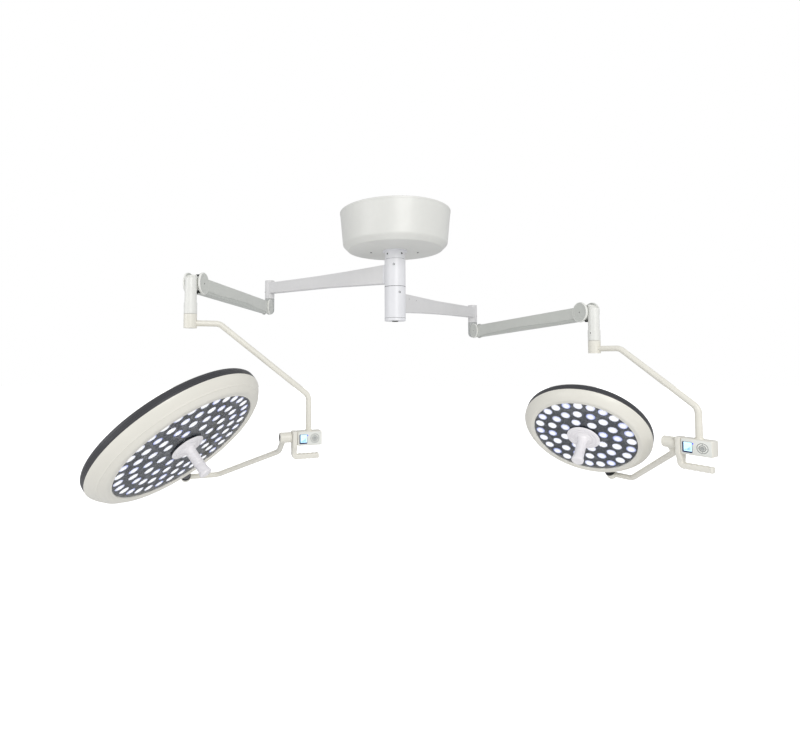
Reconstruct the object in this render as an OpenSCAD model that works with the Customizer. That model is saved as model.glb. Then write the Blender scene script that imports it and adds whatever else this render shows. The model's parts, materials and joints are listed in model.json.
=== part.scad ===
// Ceiling-mounted surgical light with two lamp heads on sprung, jointed arms.
// Origin: centre of the ceiling flange's top face. +Z is up, units are millimetres.
// Lamp 0 carries the large head and lamp 1 the small head. Every sub-part is drawn in
// the frame of the joint that carries it, and the pose angles place the joints.

/* [Ceiling canopy] */
// Diameter of the canopy at the ceiling
canopy_top_d = 544; // [480:1:600]
// Diameter of the canopy at its lower shoulder
canopy_low_d = 514; // [470:1:580]
// Diameter of the flat underside of the canopy
canopy_face_d = 462; // [400:1:500]
// Height of the canopy
canopy_h = 186; // [150:1:230]
// Height of the sloping shoulder
canopy_shoulder_h = 27; // [15:1:45]
// Thickness of the canopy's sheet
canopy_wall = 3; // [2:0.5:5]
// Diameter of the bolt circle in the ceiling flange
flange_pcd = 220; // [200:5:236]
// Number of bolts in the ceiling flange
flange_bolts = 8; // [4:1:12]
// Diameter of each bolt hole
flange_hole_d = 13; // [9:1:18]

/* [Column] */
// Outer diameter of both hubs
hub_d = 103; // [96:1:120]
// Diameter of the bore that turns on the bushes
hub_bore_d = 76.1; // [76.1:0.1:78]
// Height of the collar below the canopy
collar_h = 43.5; // [30:0.5:60]
// Height of the hub of the large lamp
large_hub_h = 134; // [120:1:160]
// Height of the hub of the small lamp
small_hub_h = 167; // [140:1:200]
// Gap between turning parts along the column
turn_gap = 1.5; // [1:0.5:3]

/* [Extension arms] */
// Distance from the column's axis to the elbow's axis
arm_len = 897; // [700:1:1100]
// Width of the beam
arm_w = 46; // [36:1:60]
// Height of the beam at the hub
arm_root_h = 92; // [80:1:110]
// Height of the beam at the elbow
arm_tip_h = 63; // [50:1:75]
// Outer diameter of the elbow barrel
elbow_d = 56; // [50:1:70]
// Height of the elbow barrel
elbow_h = 111; // [100:1:140]

/* [Spring arms] */
// Distance between the two lift pivots
spring_len = 959; // [850:1:1150]
// Distance from the elbow's axis forward to the rear pivot
pivot_offset = 55; // [52:1:65]
// Depth of the rear pivot below the elbow barrel
pivot_drop = 55; // [50:1:70]
// Width over the shell at the rear pivot
spring_rear_w = 32; // [32:1:36]
// Width over the shell at the front pivot
spring_front_w = 54; // [54:1:60]
// Height of the shell near the elbow
spring_rear_h = 75; // [66:1:84]
// Height of the shell near the post
spring_front_h = 58; // [54:1:66]
// Diameter of the rear pivot covers
rear_cover_d = 90; // [86:1:96]
// Diameter of the front pivot covers
front_cover_d = 87; // [84:1:92]
// Vertical distance from a pivot to the levelling link's pin
link_drop = 18; // [17:0.5:19]

/* [Posts] */
// Distance from the front pivot to the post's axis
post_offset = 45; // [44:1:55]
// Diameter of the post
post_d = 44; // [40:1:46]
// Diameter of the post's sleeve and of the yoke socket
sleeve_d = 48.4; // [46:0.1:54]
// Depth of the sleeve's top below the pivot
sleeve_top = 80; // [70:1:95]
// Depth of the joint line below the pivot
sleeve_split = 123; // [110:1:140]
// Depth of the socket's bottom below the pivot
socket_bottom = 177; // [165:1:200]

/* [Yokes] */
// Diameter of the yoke tubes
tube_d = 23; // [20:0.5:26]
// Wall of the yoke tubes
tube_wall = 2.5; // [2:0.5:4]
// Depth of the upper tube below the pivot
tube_drop = 158; // [150:1:164]
// Radius of the bends on the tube's centre line
bend_r = 40; // [30:1:60]
// Distance from the post's axis to the upper tube's first bend
first_bend = 107; // [80:1:150]
// Large lamp: distance from the post's axis to the control box's tube
large_reach = 462; // [455:1:520]
// Small lamp: distance from the post's axis to the control box's tube
small_reach = 379; // [360:1:430]
// Large lamp: depth of the tube's second bend below the pivot
large_bend_drop = 444; // [400:1:480]
// Small lamp: depth of the tube's second bend below the pivot
small_bend_drop = 373; // [330:1:410]
// Large lamp: depth of the tilting axis below the pivot
large_drop = 610; // [590:1:640]
// Small lamp: depth of the tilting axis below the pivot
small_drop = 505; // [490:1:540]

/* [Control boxes] */
// Length of the control box with the handle's leg
box_w = 120; // [110:1:140]
// Height of the control box
box_h = 57; // [50:1:66]
// Depth of the control box
box_t = 48; // [44:1:56]
// Thickness of the handle's leg along the box
leg_w = 21; // [16:1:26]
// Height of the gap for the fingers
finger_gap = 34; // [28:1:40]
// Height of the grip bar
grip_h = 23; // [20:1:28]
// Diameter of the tilting barrel
barrel_d = 42; // [38:1:46]
// Length of the tilting barrel
barrel_len = 47; // [44:1:54]
// Travel of the power button
button_travel = 1; // [0.5:0.1:1.5]

/* [Lamp heads] */
// Outer diameter of the large head
large_head_d = 700; // [680:5:702]
// Outer diameter of the small head
small_head_d = 500; // [480:5:504]
// Light opening as a share of the outer diameter
opening_share = 0.8; // [0.76:0.01:0.84]
// Large head: thickness at its rim
large_head_t = 80; // [70:1:90]
// Small head: thickness at its rim
small_head_t = 66; // [60:1:80]
// Height of the dark band round the rim
band_h = 30; // [20:1:36]
// Crown of the rear cover above the rim
crown_h = 26; // [15:1:40]
// Diameter of one lens
lens_d = 40; // [34:1:42]
// Rings of lenses in the large head
large_rings = 4; // [3:1:4]
// Rings of lenses in the small head
small_rings = 3; // [2:1:3]
// Diameter of the sterile handle's guard disc
guard_d = 128; // [110:1:140]
// Diameter of the sterile handle's grip
handle_d = 40; // [34:1:46]
// Length of the sterile handle from the front glass
handle_len = 132; // [110:1:160]

/* [Pose] */
// Large lamp: direction of the extension arm
large_arm_yaw = 143.2; // [120:0.1:170]
// Large lamp: direction of the spring arm
large_spring_yaw = 264.4; // [240:0.1:290]
// Large lamp: rise of the spring arm
large_pitch = -0.5; // [-40:0.5:18]
// Large lamp: direction of the yoke
large_yoke_yaw = 18.7; // [-60:0.1:90]
// Large lamp: tilt of the lower bow
large_tilt = 57.9; // [-60:0.1:90]
// Large lamp: turn of the head in the bow
large_turn = 32; // [-60:0.5:60]
// Small lamp: direction of the extension arm
small_arm_yaw = 52.2; // [20:0.1:80]
// Small lamp: direction of the spring arm
small_spring_yaw = -75.35; // [-100:0.05:-50]
// Small lamp: rise of the spring arm
small_pitch = 1.7; // [-40:0.1:18]
// Small lamp: direction of the yoke
small_yoke_yaw = -57.7; // [-120:0.1:0]
// Small lamp: tilt of the lower bow
small_tilt = 41.9; // [-60:0.1:90]
// Small lamp: turn of the head in the bow
small_turn = 13.7; // [-60:0.1:60]

/* [Hidden] */
large = 0;
small = 1;
arm_yaw = [large_arm_yaw, small_arm_yaw];
spring_yaw = [large_spring_yaw, small_spring_yaw];
pitch = [large_pitch, small_pitch];
yoke_yaw = [large_yoke_yaw, small_yoke_yaw];
tilt = [large_tilt, small_tilt];
turn = [large_turn, small_turn];
reach = [large_reach, small_reach];
bend_drop = [large_bend_drop, small_bend_drop];
gimbal_drop = [large_drop, small_drop];
head_r = [large_head_d / 2, small_head_d / 2];
head_t = [large_head_t, small_head_t];
rings = [large_rings, small_rings];
// Where the head's own axis crosses the tilting axis, measured from the post's axis
head_x = [-12, -50];
// Height of the head's middle above the tilting axis, along the head's own axis
head_shift = [19, -11];

// Column, from the ceiling down
spindle_r = 34;
drop_tube_r = 45;
drop_tube_bore_r = 36;
drop_tube_end = 212;
plate_r = 130;
plate_t = 12;
stand_off_pos = [117, 35];
collar_r = 50;
collar_hole_yaw = 37;
collar_hole_r = 3.5;
collar_bottom = canopy_h + collar_h;
hub_top = [collar_bottom + turn_gap, collar_bottom + 2 * turn_gap + large_hub_h];
hub_len = [large_hub_h, small_hub_h];
hub_floor = 4;
bush_h = 20;
column_end = hub_top[small] + small_hub_h;
// Depth of the beam's centre line at the hub and at the elbow
root_z = [299, 441];
tip_z = [294, 425];
barrel_rise = 46;
pad_x = 57;
elbow_pin_r = 18;
running = 0.05;

// Spring arm
shell_wall = 3;
cover_t = 8;
cover_edge = 1.5;
lift_pin_r = 7;
link_pin_r = 4;
open_pin_r = 3.7;
link_t = 6;
slot_half = 3.6;
link_eye_r = 7;
link_h = 8;
knuckle_r = 27.8;
tongue_r = 25;
neck_half = 20;
// Height of the post above the pivot and the slope of its top
post_top = 34;
post_slope = 22;
// Cup in the post's slanted top: wall and height of its floor above the pivot
cup_wall = 3.5;
cup_floor = 14;
rear_tongue_half = 12.5;
front_tongue_half = 23;
rear_z = elbow_h + pivot_drop;
// The shell hangs a little below the line through its pivots
shell_low = 4.5;
// Stretch at each pivot where the cheeks run parallel
cheek_flat = 46;
web_x = 32;
belly_x = 60;

// Yoke and head
tube_r = tube_d / 2;
yoke_pin_r = 14;
box_left = -70;
box_right = box_left + box_w;
// Depth of the box's middle below the tilting axis
box_low = 4;
box_top = box_h / 2 - box_low;
box_bottom = -box_h / 2 - box_low;
box_front = -28;
box_back = box_front + box_t;
tilt_pin_r = 9;
bow_x = box_left - barrel_len + 17;
rim_gap = 30;
rim_joint_r = 20;
rim_pin_r = 8;
bow_first_drop = [146, 58];
bow_second_x = [122, 42];
face_inset = 5;
mount_r = 34;
lens_pitch_r = [[98, 150, 203, 255], [79, 128, 178]];
ring_step = 8;

$fn = 64;

// ---- Frames of the joints ----

// Column's axis, x along the extension arm
module at_arm(i) rotate([0, 0, arm_yaw[i]]) children();

// Top of the elbow barrel, x along the spring arm
module at_elbow(i)
    at_arm(i) translate([arm_len, 0, barrel_rise - tip_z[i]])
        rotate([0, 0, spring_yaw[i] - arm_yaw[i]]) children();

// Rear pivot, x along the sloping spring arm, y along the pivot
module at_spring(i)
    at_elbow(i) translate([pivot_offset, 0, -rear_z]) rotate([0, -pitch[i], 0]) children();

// Front pivot, level
module at_front(i) at_spring(i) translate([spring_len, 0, 0]) rotate([0, pitch[i], 0]) children();

// Post's axis at the height of the front pivot, x along the yoke
module at_yoke(i)
    at_front(i) translate([post_offset, 0, 0])
        rotate([0, 0, yoke_yaw[i] - spring_yaw[i]]) children();

// Control box, under its tube and at the height of the tilting axis, front face towards -y
module at_box(i) at_yoke(i) translate([reach[i], 0, -gimbal_drop[i]]) children();

// Lower bow, x along the tilting axis, the bow hangs towards -z
module at_bow(i)
    at_yoke(i) translate([0, 0, -gimbal_drop[i]]) rotate([tilt[i], 0, 0]) children();

// Head, light towards -z, rim joint towards +y
module at_head(i)
    at_bow(i) translate([head_x[i], 0, 0]) rotate([0, 0, turn[i]]) rotate([-90, 0, 0])
        translate([0, 0, head_shift[i]]) children();

// ---- Helpers ----

// Cylinder along y between two y values
module along_y(r, y0, y1) translate([0, y1, 0]) rotate([90, 0, 0]) cylinder(r = r, h = y1 - y0);

// Cylinder along x between two x values
module along_x(r, x0, x1) translate([x0, 0, 0]) rotate([0, 90, 0]) cylinder(r = r, h = x1 - x0);

// Ring between two radii, standing up from z = 0
module ring(outer, inner, h)
    difference() {
        cylinder(r = outer, h = h);
        translate([0, 0, -1]) cylinder(r = inner, h = h + 2);
    }

function unit(v) = v / norm(v);
function heading(v) = atan2(v[1], v[0]);
function bend_angle(a, b, c) = acos(unit(b - a) * unit(c - b));
function cut_back(a, b, c) = bend_r * tan(bend_angle(a, b, c) / 2);
function turn_side(a, b, c) = sign(unit(b - a)[0] * unit(c - b)[1] - unit(b - a)[1] * unit(c - b)[0]);

// Stations round the bend at b, each a point and its direction of travel
bend_steps = 8;
function bend_stations(a, b, c) =
    let (side = turn_side(a, b, c), start = b - unit(b - a) * cut_back(a, b, c))
    let (centre = start + side * bend_r * [-unit(b - a)[1], unit(b - a)[0]])
    [for (k = [0 : bend_steps])
        let (at = heading(b - a) + side * bend_angle(a, b, c) * k / bend_steps)
        [centre + side * bend_r * [sin(at), -cos(at)], [cos(at), sin(at)]]];

// Stations along a pipe through four points in the x-z plane
function pipe_stations(p) = concat(
    [[p[0], unit(p[1] - p[0])]],
    bend_stations(p[0], p[1], p[2]),
    bend_stations(p[1], p[2], p[3]),
    [[p[3], unit(p[3] - p[2])]]
);

// Circle of points round one station
function station_ring(s, r, sides) = [
    for (k = [0 : sides - 1]) let (a = 360 * k / sides)
        [s[0][0] - s[1][1] * r * cos(a), r * sin(a), s[0][1] + s[1][0] * r * cos(a)]
];

// Hollow pipe through four points, swept as one closed surface
module pipe(p, outer, inner) {
    sides = 20;
    stations = pipe_stations(p);
    count = len(stations);
    skin = [for (s = stations) each station_ring(s, outer, sides)];
    bore = [for (s = stations) each station_ring(s, inner, sides)];
    far = count * sides;
    last = (count - 1) * sides;
    polyhedron(
        points = concat(skin, bore),
        faces = [
            for (j = [0 : count - 2]) for (k = [0 : sides - 1]) let (n = (k + 1) % sides)
                [j * sides + k, j * sides + n, (j + 1) * sides + n, (j + 1) * sides + k],
            for (j = [0 : count - 2]) for (k = [0 : sides - 1]) let (n = (k + 1) % sides)
                [far + j * sides + k, far + (j + 1) * sides + k,
                 far + (j + 1) * sides + n, far + j * sides + n],
            for (k = [0 : sides - 1]) let (n = (k + 1) % sides) [k, far + k, far + n, n],
            for (k = [0 : sides - 1]) let (n = (k + 1) % sides)
                [last + k, last + n, far + last + n, far + last + k]
        ]
    );
}

// ---- Ceiling and column ----

// Plate with its bolt circle, drop tube and the two stand-offs for the canopy
module ceiling_flange()
    color("silver") {
        difference() {
            translate([0, 0, -plate_t]) cylinder(r = plate_r, h = plate_t);
            for (k = [0 : flange_bolts - 1])
                rotate([0, 0, (k + 0.5) * 360 / flange_bolts]) translate([flange_pcd / 2, 0, -plate_t - 1])
                    cylinder(d = flange_hole_d, h = plate_t + 2);
            translate([0, 0, -plate_t - 1]) cylinder(r = drop_tube_bore_r, h = plate_t + 2);
        }
        translate([0, 0, -drop_tube_end])
            ring(drop_tube_r, drop_tube_bore_r, drop_tube_end - plate_t);
        for (side = [-1, 1])
            translate([side * stand_off_pos[0], stand_off_pos[1], canopy_wall - canopy_h])
                cylinder(r = 6, h = canopy_h - canopy_wall - plate_t);
    }

// Outline of the canopy's sheet, x from the axis, y up
module canopy_outline(inset) {
    shoulder = canopy_h - canopy_shoulder_h;
    polygon([
        [0, inset - canopy_h],
        [canopy_face_d / 2 - inset / 2, inset - canopy_h],
        [canopy_low_d / 2 - inset, -shoulder],
        [canopy_top_d / 2 - inset, inset > 0 ? 1 : 0],
        [0, inset > 0 ? 1 : 0]
    ]);
}

module canopy_cover()
    color([0.90, 0.90, 0.88]) difference() {
        rotate_extrude($fn = 128) canopy_outline(0);
        rotate_extrude($fn = 128) canopy_outline(canopy_wall);
        translate([0, 0, -canopy_h - 1]) cylinder(r = drop_tube_r, h = canopy_wall + 2);
        for (side = [-1, 1])
            translate([side * stand_off_pos[0], stand_off_pos[1], -canopy_h - 1])
                cylinder(r = 2.6, h = canopy_wall + 2);
    }

module canopy_screws()
    color("dimgray") for (side = [-1, 1])
        translate([side * stand_off_pos[0], stand_off_pos[1], -canopy_h]) {
            cylinder(r = 2.5, h = canopy_wall);
            translate([0, 0, -2.5]) cylinder(r1 = 3, r2 = 4.5, h = 2.5);
        }

// Two power supplies hung under the ceiling plate, one for each lamp
module power_supplies()
    color("lightsteelblue") for (side = [-1, 1])
        translate([-75, side * 85 - 25, -plate_t - 70]) cube([150, 50, 70]);

// Hollow shaft that both hubs turn on
module spindle()
    color("gainsboro") difference() {
        union() {
            translate([0, 0, -collar_bottom])
                cylinder(r = drop_tube_bore_r, h = collar_bottom - 150);
            translate([0, 0, 16 - column_end])
                cylinder(r = spindle_r, h = column_end - 16 - collar_bottom);
        }
        translate([0, 0, -column_end]) cylinder(r = 24, h = column_end);
    }

module spindle_collar()
    color([0.93, 0.93, 0.95]) difference() {
        union() {
            translate([0, 0, -collar_bottom]) ring(collar_r, drop_tube_r, collar_bottom - canopy_h);
            translate([0, 0, -canopy_h - 5]) ring(collar_r + 10, drop_tube_r, 5);
        }
        for (k = [0 : 3])
            rotate([0, 0, collar_hole_yaw + 90 * k])
                translate([0, 0, -canopy_h - 20]) along_x(collar_hole_r, drop_tube_r, collar_r + 20);
    }

// Flanged bushes between the spindle and the hubs
module hub_bushes()
    color("darkgoldenrod") for (i = [large, small]) {
        low = i == small ? hub_floor + 12 : 1;
        translate([0, 0, -hub_top[i] - bush_h]) ring(drop_tube_bore_r + 2, spindle_r, bush_h);
        translate([0, 0, -hub_top[i] - hub_len[i] + low]) ring(drop_tube_bore_r + 2, spindle_r, bush_h);
    }

// Cap that holds the lower hub on the spindle
module spindle_cap()
    color("black") {
        translate([0, 0, -column_end + 10]) cylinder(r = 36, h = 6);
        translate([0, 0, -column_end - 3]) cylinder(r = 15, h = 13);
    }

// ---- Extension arm ----

module hub(i)
    color([0.93, 0.93, 0.95]) difference() {
        union() {
            translate([0, 0, -hub_top[i] - hub_len[i]]) cylinder(d = hub_d, h = hub_len[i]);
            translate([30, -arm_w / 2, -root_z[i] - arm_root_h / 2])
                cube([pad_x - 30, arm_w, arm_root_h]);
        }
        translate([0, 0, -hub_top[i] - hub_len[i] + (i == small ? hub_floor : -1)])
            cylinder(d = hub_bore_d, h = hub_len[i] + 2);
        translate([0, 0, -hub_top[i] - hub_len[i] - 1]) cylinder(r = 16, h = hub_len[i]);
    }

// Half height of the beam at a share t of its length: it flares towards the hub
function beam_half(t) = (arm_tip_h + (arm_root_h - arm_tip_h) * pow(max(0, 1 - t / 0.75), 2)) / 2;
function beam_mid(i, t) = -root_z[i] + (root_z[i] - tip_z[i]) * t;

// Beam with the elbow barrel at its end
module extension_arm(i) {
    steps = 18;
    span = arm_len - pad_x;
    panel_from = 4;
    panel_share = 0.95;
    panel_height = 0.72;
    panel_depth = 0.8;
    color([0.80, 0.80, 0.83]) difference() {
        union() {
            translate([0, arm_w / 2, 0]) rotate([90, 0, 0]) linear_extrude(arm_w)
                polygon([
                    for (k = [0 : steps])
                        [pad_x + span * k / steps, beam_mid(i, k / steps) + beam_half(k / steps)],
                    for (k = [steps : -1 : 0])
                        [pad_x + span * k / steps, beam_mid(i, k / steps) - beam_half(k / steps)]
                ]);
            translate([arm_len, 0, barrel_rise - tip_z[i] - elbow_h]) cylinder(d = elbow_d, h = elbow_h);
        }
        translate([arm_len, 0, barrel_rise - tip_z[i] - elbow_h - 1])
            cylinder(r = elbow_pin_r + running, h = elbow_h - 7);
        for (side = [0, 1]) mirror([0, side, 0])
            translate([0, arm_w / 2 + 1, 0]) rotate([90, 0, 0]) linear_extrude(1 + panel_depth)
                polygon([
                    for (k = [panel_from : steps])
                        [pad_x + panel_share * span * k / steps,
                         beam_mid(i, k / steps) + panel_height * beam_half(k / steps)],
                    for (k = [steps : -1 : panel_from])
                        [pad_x + panel_share * span * k / steps,
                         beam_mid(i, k / steps) - panel_height * beam_half(k / steps)]
                ]);
    }
}

// ---- Spring arm ----

// Knuckle that hangs from the elbow, with a forked tongue that carries the rear pivot
module rear_knuckle(i)
    color([0.62, 0.63, 0.63]) {
        difference() {
            union() {
                translate([0, 0, -elbow_h]) cylinder(r = elbow_pin_r, h = elbow_h - 9);
                difference() {
                    union() {
                        translate([0, 0, 16 - rear_z]) cylinder(r = knuckle_r, h = pivot_drop - 17);
                        translate([0, 0, -rear_z - 12]) cylinder(r = knuckle_r, h = 28);
                        translate([0, 0, -rear_z - 12]) sphere(r = knuckle_r);
                    }
                    for (side = [0, 1]) mirror([0, side, 0])
                        translate([pivot_offset, 0, -rear_z])
                            along_y(rear_cover_d / 2 + 2, rear_tongue_half, 40);
                }
                translate([pivot_offset, 0, -rear_z])
                    along_y(tongue_r, -rear_tongue_half, rear_tongue_half);
                translate([0, -rear_tongue_half, -rear_z - tongue_r])
                    cube([pivot_offset, 2 * rear_tongue_half, 2 * tongue_r]);
            }
            translate([pivot_offset, 0, -rear_z]) along_y(lift_pin_r + running, -40, 40);
            translate([pivot_offset - 12, -slot_half, -rear_z - 60]) cube([60, 2 * slot_half, 100]);
        }
        translate([pivot_offset, 0, -rear_z - link_drop]) along_y(link_pin_r, -5, 5);
    }

// Half width over the cheeks and height of the outline's edges at a distance from the rear pivot
function cheek(x) =
    let (t = min(1, max(0, (x - cheek_flat) / (spring_len - 2 * cheek_flat))))
    (spring_rear_w + (spring_front_w - spring_rear_w) * t) / 2;
function shell_half(x) = (spring_rear_h + (spring_front_h - spring_rear_h) * x / spring_len) / 2;
function shell_top(x) = shell_half(x) - shell_low;
function shell_foot(x) = -shell_half(x) - shell_low;

// Seam between the shell and the belly cover, measured up from the arm's lower edge
function seam_rise(t) = 9 + 9 * pow(sin(180 * min(1, t * 1.15)), 2);
belly_len = spring_len - web_x - belly_x;
function belly_at(t) = belly_x + belly_len * t;
seam_steps = 16;
seam_gap = 0.15;
// How far the cheeks stay inside their cover discs
cheek_inset = 1.5;

// Upright block with the plan of the shell, pulled in by a distance
module plan_block(inset) {
    plan = [-60, cheek_flat, spring_len - cheek_flat, spring_len + 60];
    translate([0, 0, -70]) linear_extrude(140)
        polygon([
            for (x = plan) [x, cheek(x) - inset],
            for (k = [3 : -1 : 0]) [plan[k], inset - cheek(plan[k])]
        ]);
}

// Block with a side outline of the shell, cut to the shell's plan
module side_block(inset, outline)
    intersection() {
        plan_block(inset);
        translate([0, 60, 0]) rotate([90, 0, 0]) linear_extrude(120) polygon(outline);
    }

// Shell: two cheeks and the top web, open below for the belly cover
module arm_shell(i) {
    front_x = spring_len - web_x;
    color([0.74, 0.74, 0.72]) difference() {
        union() {
            side_block(0, [
                [0, shell_top(0)],
                [spring_len, shell_top(spring_len)],
                [spring_len, shell_foot(spring_len)],
                for (k = [seam_steps : -1 : 0]) let (t = k / seam_steps)
                    [belly_at(t), shell_foot(belly_at(t)) + seam_rise(t)],
                [belly_x, shell_foot(belly_x)],
                [0, shell_foot(0)]
            ]);
            along_y(rear_cover_d / 2 - cheek_inset, -cheek(0), cheek(0));
            translate([spring_len, 0, 0])
                along_y(front_cover_d / 2 - cheek_inset, -cheek(spring_len), cheek(spring_len));
        }
        side_block(shell_wall, [
            [-60, 60], [web_x, 60],
            [web_x, shell_top(web_x) - shell_wall],
            [front_x, shell_top(front_x) - shell_wall],
            [front_x, 60], [spring_len + 60, 60], [spring_len + 60, -60], [-60, -60]
        ]);
        along_y(lift_pin_r, -40, 40);
        translate([spring_len, 0, 0]) along_y(lift_pin_r, -40, 40);
    }
}

// Cover that closes the shell from below
module arm_belly(i)
    color([0.68, 0.68, 0.66]) difference() {
        side_block(0, [
            for (k = [0 : seam_steps]) let (t = k / seam_steps)
                [belly_at(t), shell_foot(belly_at(t)) + seam_rise(t) - seam_gap],
            [belly_at(1), shell_foot(belly_at(1))],
            [belly_at(0), shell_foot(belly_at(0))]
        ]);
        side_block(shell_wall, [
            [belly_at(0) - 1, 30], [belly_at(1) + 1, 30],
            [belly_at(1) + 1, shell_foot(belly_at(1)) + 2],
            [belly_at(0) - 1, shell_foot(belly_at(0)) + 2]
        ]);
        translate([spring_len, 0, 0]) along_y(front_cover_d / 2 - cheek_inset + seam_gap, -40, 40);
    }

// Lift pins with a cover disc on each cheek
module pivot_pins(i)
    color([0.86, 0.86, 0.84])
        for (end = [[0, rear_cover_d / 2], [spring_len, front_cover_d / 2]]) translate([end[0], 0, 0]) {
            face = cheek(end[0]);
            along_y(lift_pin_r, -face, face);
            for (side = [0, 1]) mirror([0, side, 0]) {
                along_y(end[1], face, face + cover_t - cover_edge);
                translate([0, face + cover_t - cover_edge, 0]) rotate([-90, 0, 0])
                    cylinder(r1 = end[1], r2 = end[1] - cover_edge, h = cover_edge);
            }
        }

// Compression spring that carries the lamp's weight, on a guide rod hung from the top web
module balance_spring(i) {
    coils = 24;
    coil_step = 22;
    coil_r = 10;
    wire_r = 2.5;
    spring_start = 110;
    spring_end = spring_start + coils * coil_step;
    spring_z = 6;
    hangers = [46, 740];
    color("slategray") {
        translate([0, 0, spring_z]) {
            along_x(4, hangers[0], hangers[1]);
            along_x(coil_r + wire_r - 0.5, spring_start - 6, spring_start);
            along_x(coil_r + wire_r - 0.5, spring_end, spring_end + 6);
        }
        for (k = [0 : coils - 1])
            translate([spring_start + coil_step * (k + 0.5), 0, spring_z]) rotate([0, 90, 0])
                rotate_extrude() translate([coil_r, 0]) circle(r = wire_r);
        for (x = hangers)
            translate([x - 3, -8, spring_z - 5])
                cube([6, 16, shell_top(x) - shell_wall + 1 - spring_z + 5]);
    }
}

// Levelling link that keeps the post upright
module link_rod(i)
    color("darkgray") at_link(i) difference() {
        union() {
            translate([0, -link_t / 2, -link_h / 2]) cube([spring_len, link_t, link_h]);
            for (x = [0, spring_len])
                translate([x, 0, 0]) along_y(link_eye_r, -link_t / 2, link_t / 2);
        }
        along_y(link_pin_r + running, -10, 10);
        translate([spring_len, 0, 0]) along_y(link_pin_r + running, -10, 10);
    }

// Link's rear pin, x along the sloping link
module at_link(i)
    translate([pivot_offset, 0, -rear_z - link_drop]) rotate([0, -pitch[i], 0]) children();

// ---- Post ----

// Knuckle with the post, its sleeve and the pin that the yoke turns on
module front_knuckle(i)
    color([0.93, 0.93, 0.91]) {
        difference() {
            union() {
                along_y(tongue_r, -front_tongue_half, front_tongue_half);
                translate([0, -post_d / 2, -neck_half]) cube([post_offset, post_d, 2 * neck_half]);
                translate([post_offset, 0, 0]) {
                    difference() {
                        translate([0, 0, -sleeve_top]) cylinder(d = post_d, h = sleeve_top + post_top);
                        translate([-post_d / 2, 0, post_top - 2]) rotate([0, post_slope, 0])
                            translate([-20, -40, 0]) cube([100, 80, 60]);
                    }
                    translate([0, 0, 0.5 - sleeve_split])
                        cylinder(d = sleeve_d, h = sleeve_split - sleeve_top);
                    translate([0, 0, -socket_bottom + 6]) cylinder(r = yoke_pin_r, h = 60);
                }
            }
            along_y(lift_pin_r + running, -40, 40);
            translate([-40, -slot_half, -40]) cube([49, 2 * slot_half, 80]);
            translate([post_offset, 0, cup_floor]) cylinder(r = post_d / 2 - cup_wall, h = 60);
        }
        translate([0, 0, -link_drop]) along_y(open_pin_r, -5, 5);
    }

// ---- Yoke ----

module yoke_socket(i)
    color([0.93, 0.92, 0.87]) difference() {
        translate([0, 0, -socket_bottom]) cylinder(d = sleeve_d, h = socket_bottom - sleeve_split - 0.5);
        translate([0, 0, -socket_bottom + 5]) cylinder(r = yoke_pin_r + running, h = 80);
        translate([0, 0, -tube_drop]) along_x(tube_r, 16, 60);
    }

function yoke_path(i) = [
    [16, -tube_drop],
    [first_bend, -tube_drop],
    [reach[i], -bend_drop[i]],
    [reach[i], box_top - gimbal_drop[i]]
];

module yoke_tube(i)
    color([0.93, 0.92, 0.87]) pipe(yoke_path(i), tube_r, tube_r - tube_wall);

// Housing with the pin that the barrel turns on
module control_box(i)
    color([0.93, 0.92, 0.87]) {
        x0 = box_left + leg_w;
        wall = 3;
        difference() {
            translate([x0, box_front, box_bottom]) cube([box_right - x0, box_t, box_h]);
            translate([x0 + wall, box_front - 1, box_bottom + wall])
                cube([box_right - x0 - 2 * wall, box_t + 1 - wall, box_h - 2 * wall]);
        }
        along_x(tilt_pin_r, box_left - barrel_len + 6, x0 + wall);
    }

button_x = 20;
// Window of the display: left edge, lower edge, width and height
screen = [-43, -25, 32, 38];

// Front plate with the display window and the button's hole
module box_panel(i) {
    x0 = box_left + leg_w + 3;
    color([0.95, 0.95, 0.92]) difference() {
        translate([x0, box_front, box_bottom + 3]) cube([box_right - 3 - x0, 2.5, box_h - 6]);
        translate([screen[0], box_front - 1, screen[1]]) cube([screen[2], 5, screen[3]]);
        translate([button_x, 0, -box_low]) along_y(7.5, box_front - 1, box_front + 5);
    }
}

module display(i)
    color([0.75, 0.9, 0.97])
        translate([screen[0], box_front + 0.6, screen[1]]) cube([screen[2], 6, screen[3]]);

module power_button(i)
    color([0.8, 0.8, 0.8]) translate([button_x, 0, -box_low]) {
        along_y(7.1, box_front - 1.4, box_front + 4);
        along_y(3, box_front + 4, box_front + 10);
    }

// Leg over the end of the box and the grip bar below it
module side_handle(i)
    color([0.93, 0.92, 0.87]) {
        grip_top = box_bottom - finger_gap;
        leg_bottom = grip_top - grip_h;
        grip_t = 28;
        difference() {
            translate([box_left, 0, 0]) rotate([90, 0, 90]) linear_extrude(leg_w)
                polygon([
                    [box_front, box_top],
                    [box_front, box_bottom],
                    [-grip_t / 2, grip_top],
                    [-grip_t / 2, leg_bottom],
                    [grip_t / 2, leg_bottom],
                    [grip_t / 2, grip_top],
                    [box_back, box_bottom],
                    [box_back, box_top]
                ]);
            along_x(tilt_pin_r, box_left - 5, box_left + leg_w + 5);
        }
        translate([box_left + leg_w, -grip_t / 2, leg_bottom])
            cube([box_right - 9 - box_left - leg_w, grip_t, grip_h - 3]);
        for (k = [0 : 4])
            translate([box_left + leg_w + 10 + 18 * k, 0, leg_bottom + grip_h - 9])
                along_y(9, -grip_t / 2, grip_t / 2);
    }

// ---- Lower bow ----

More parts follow.
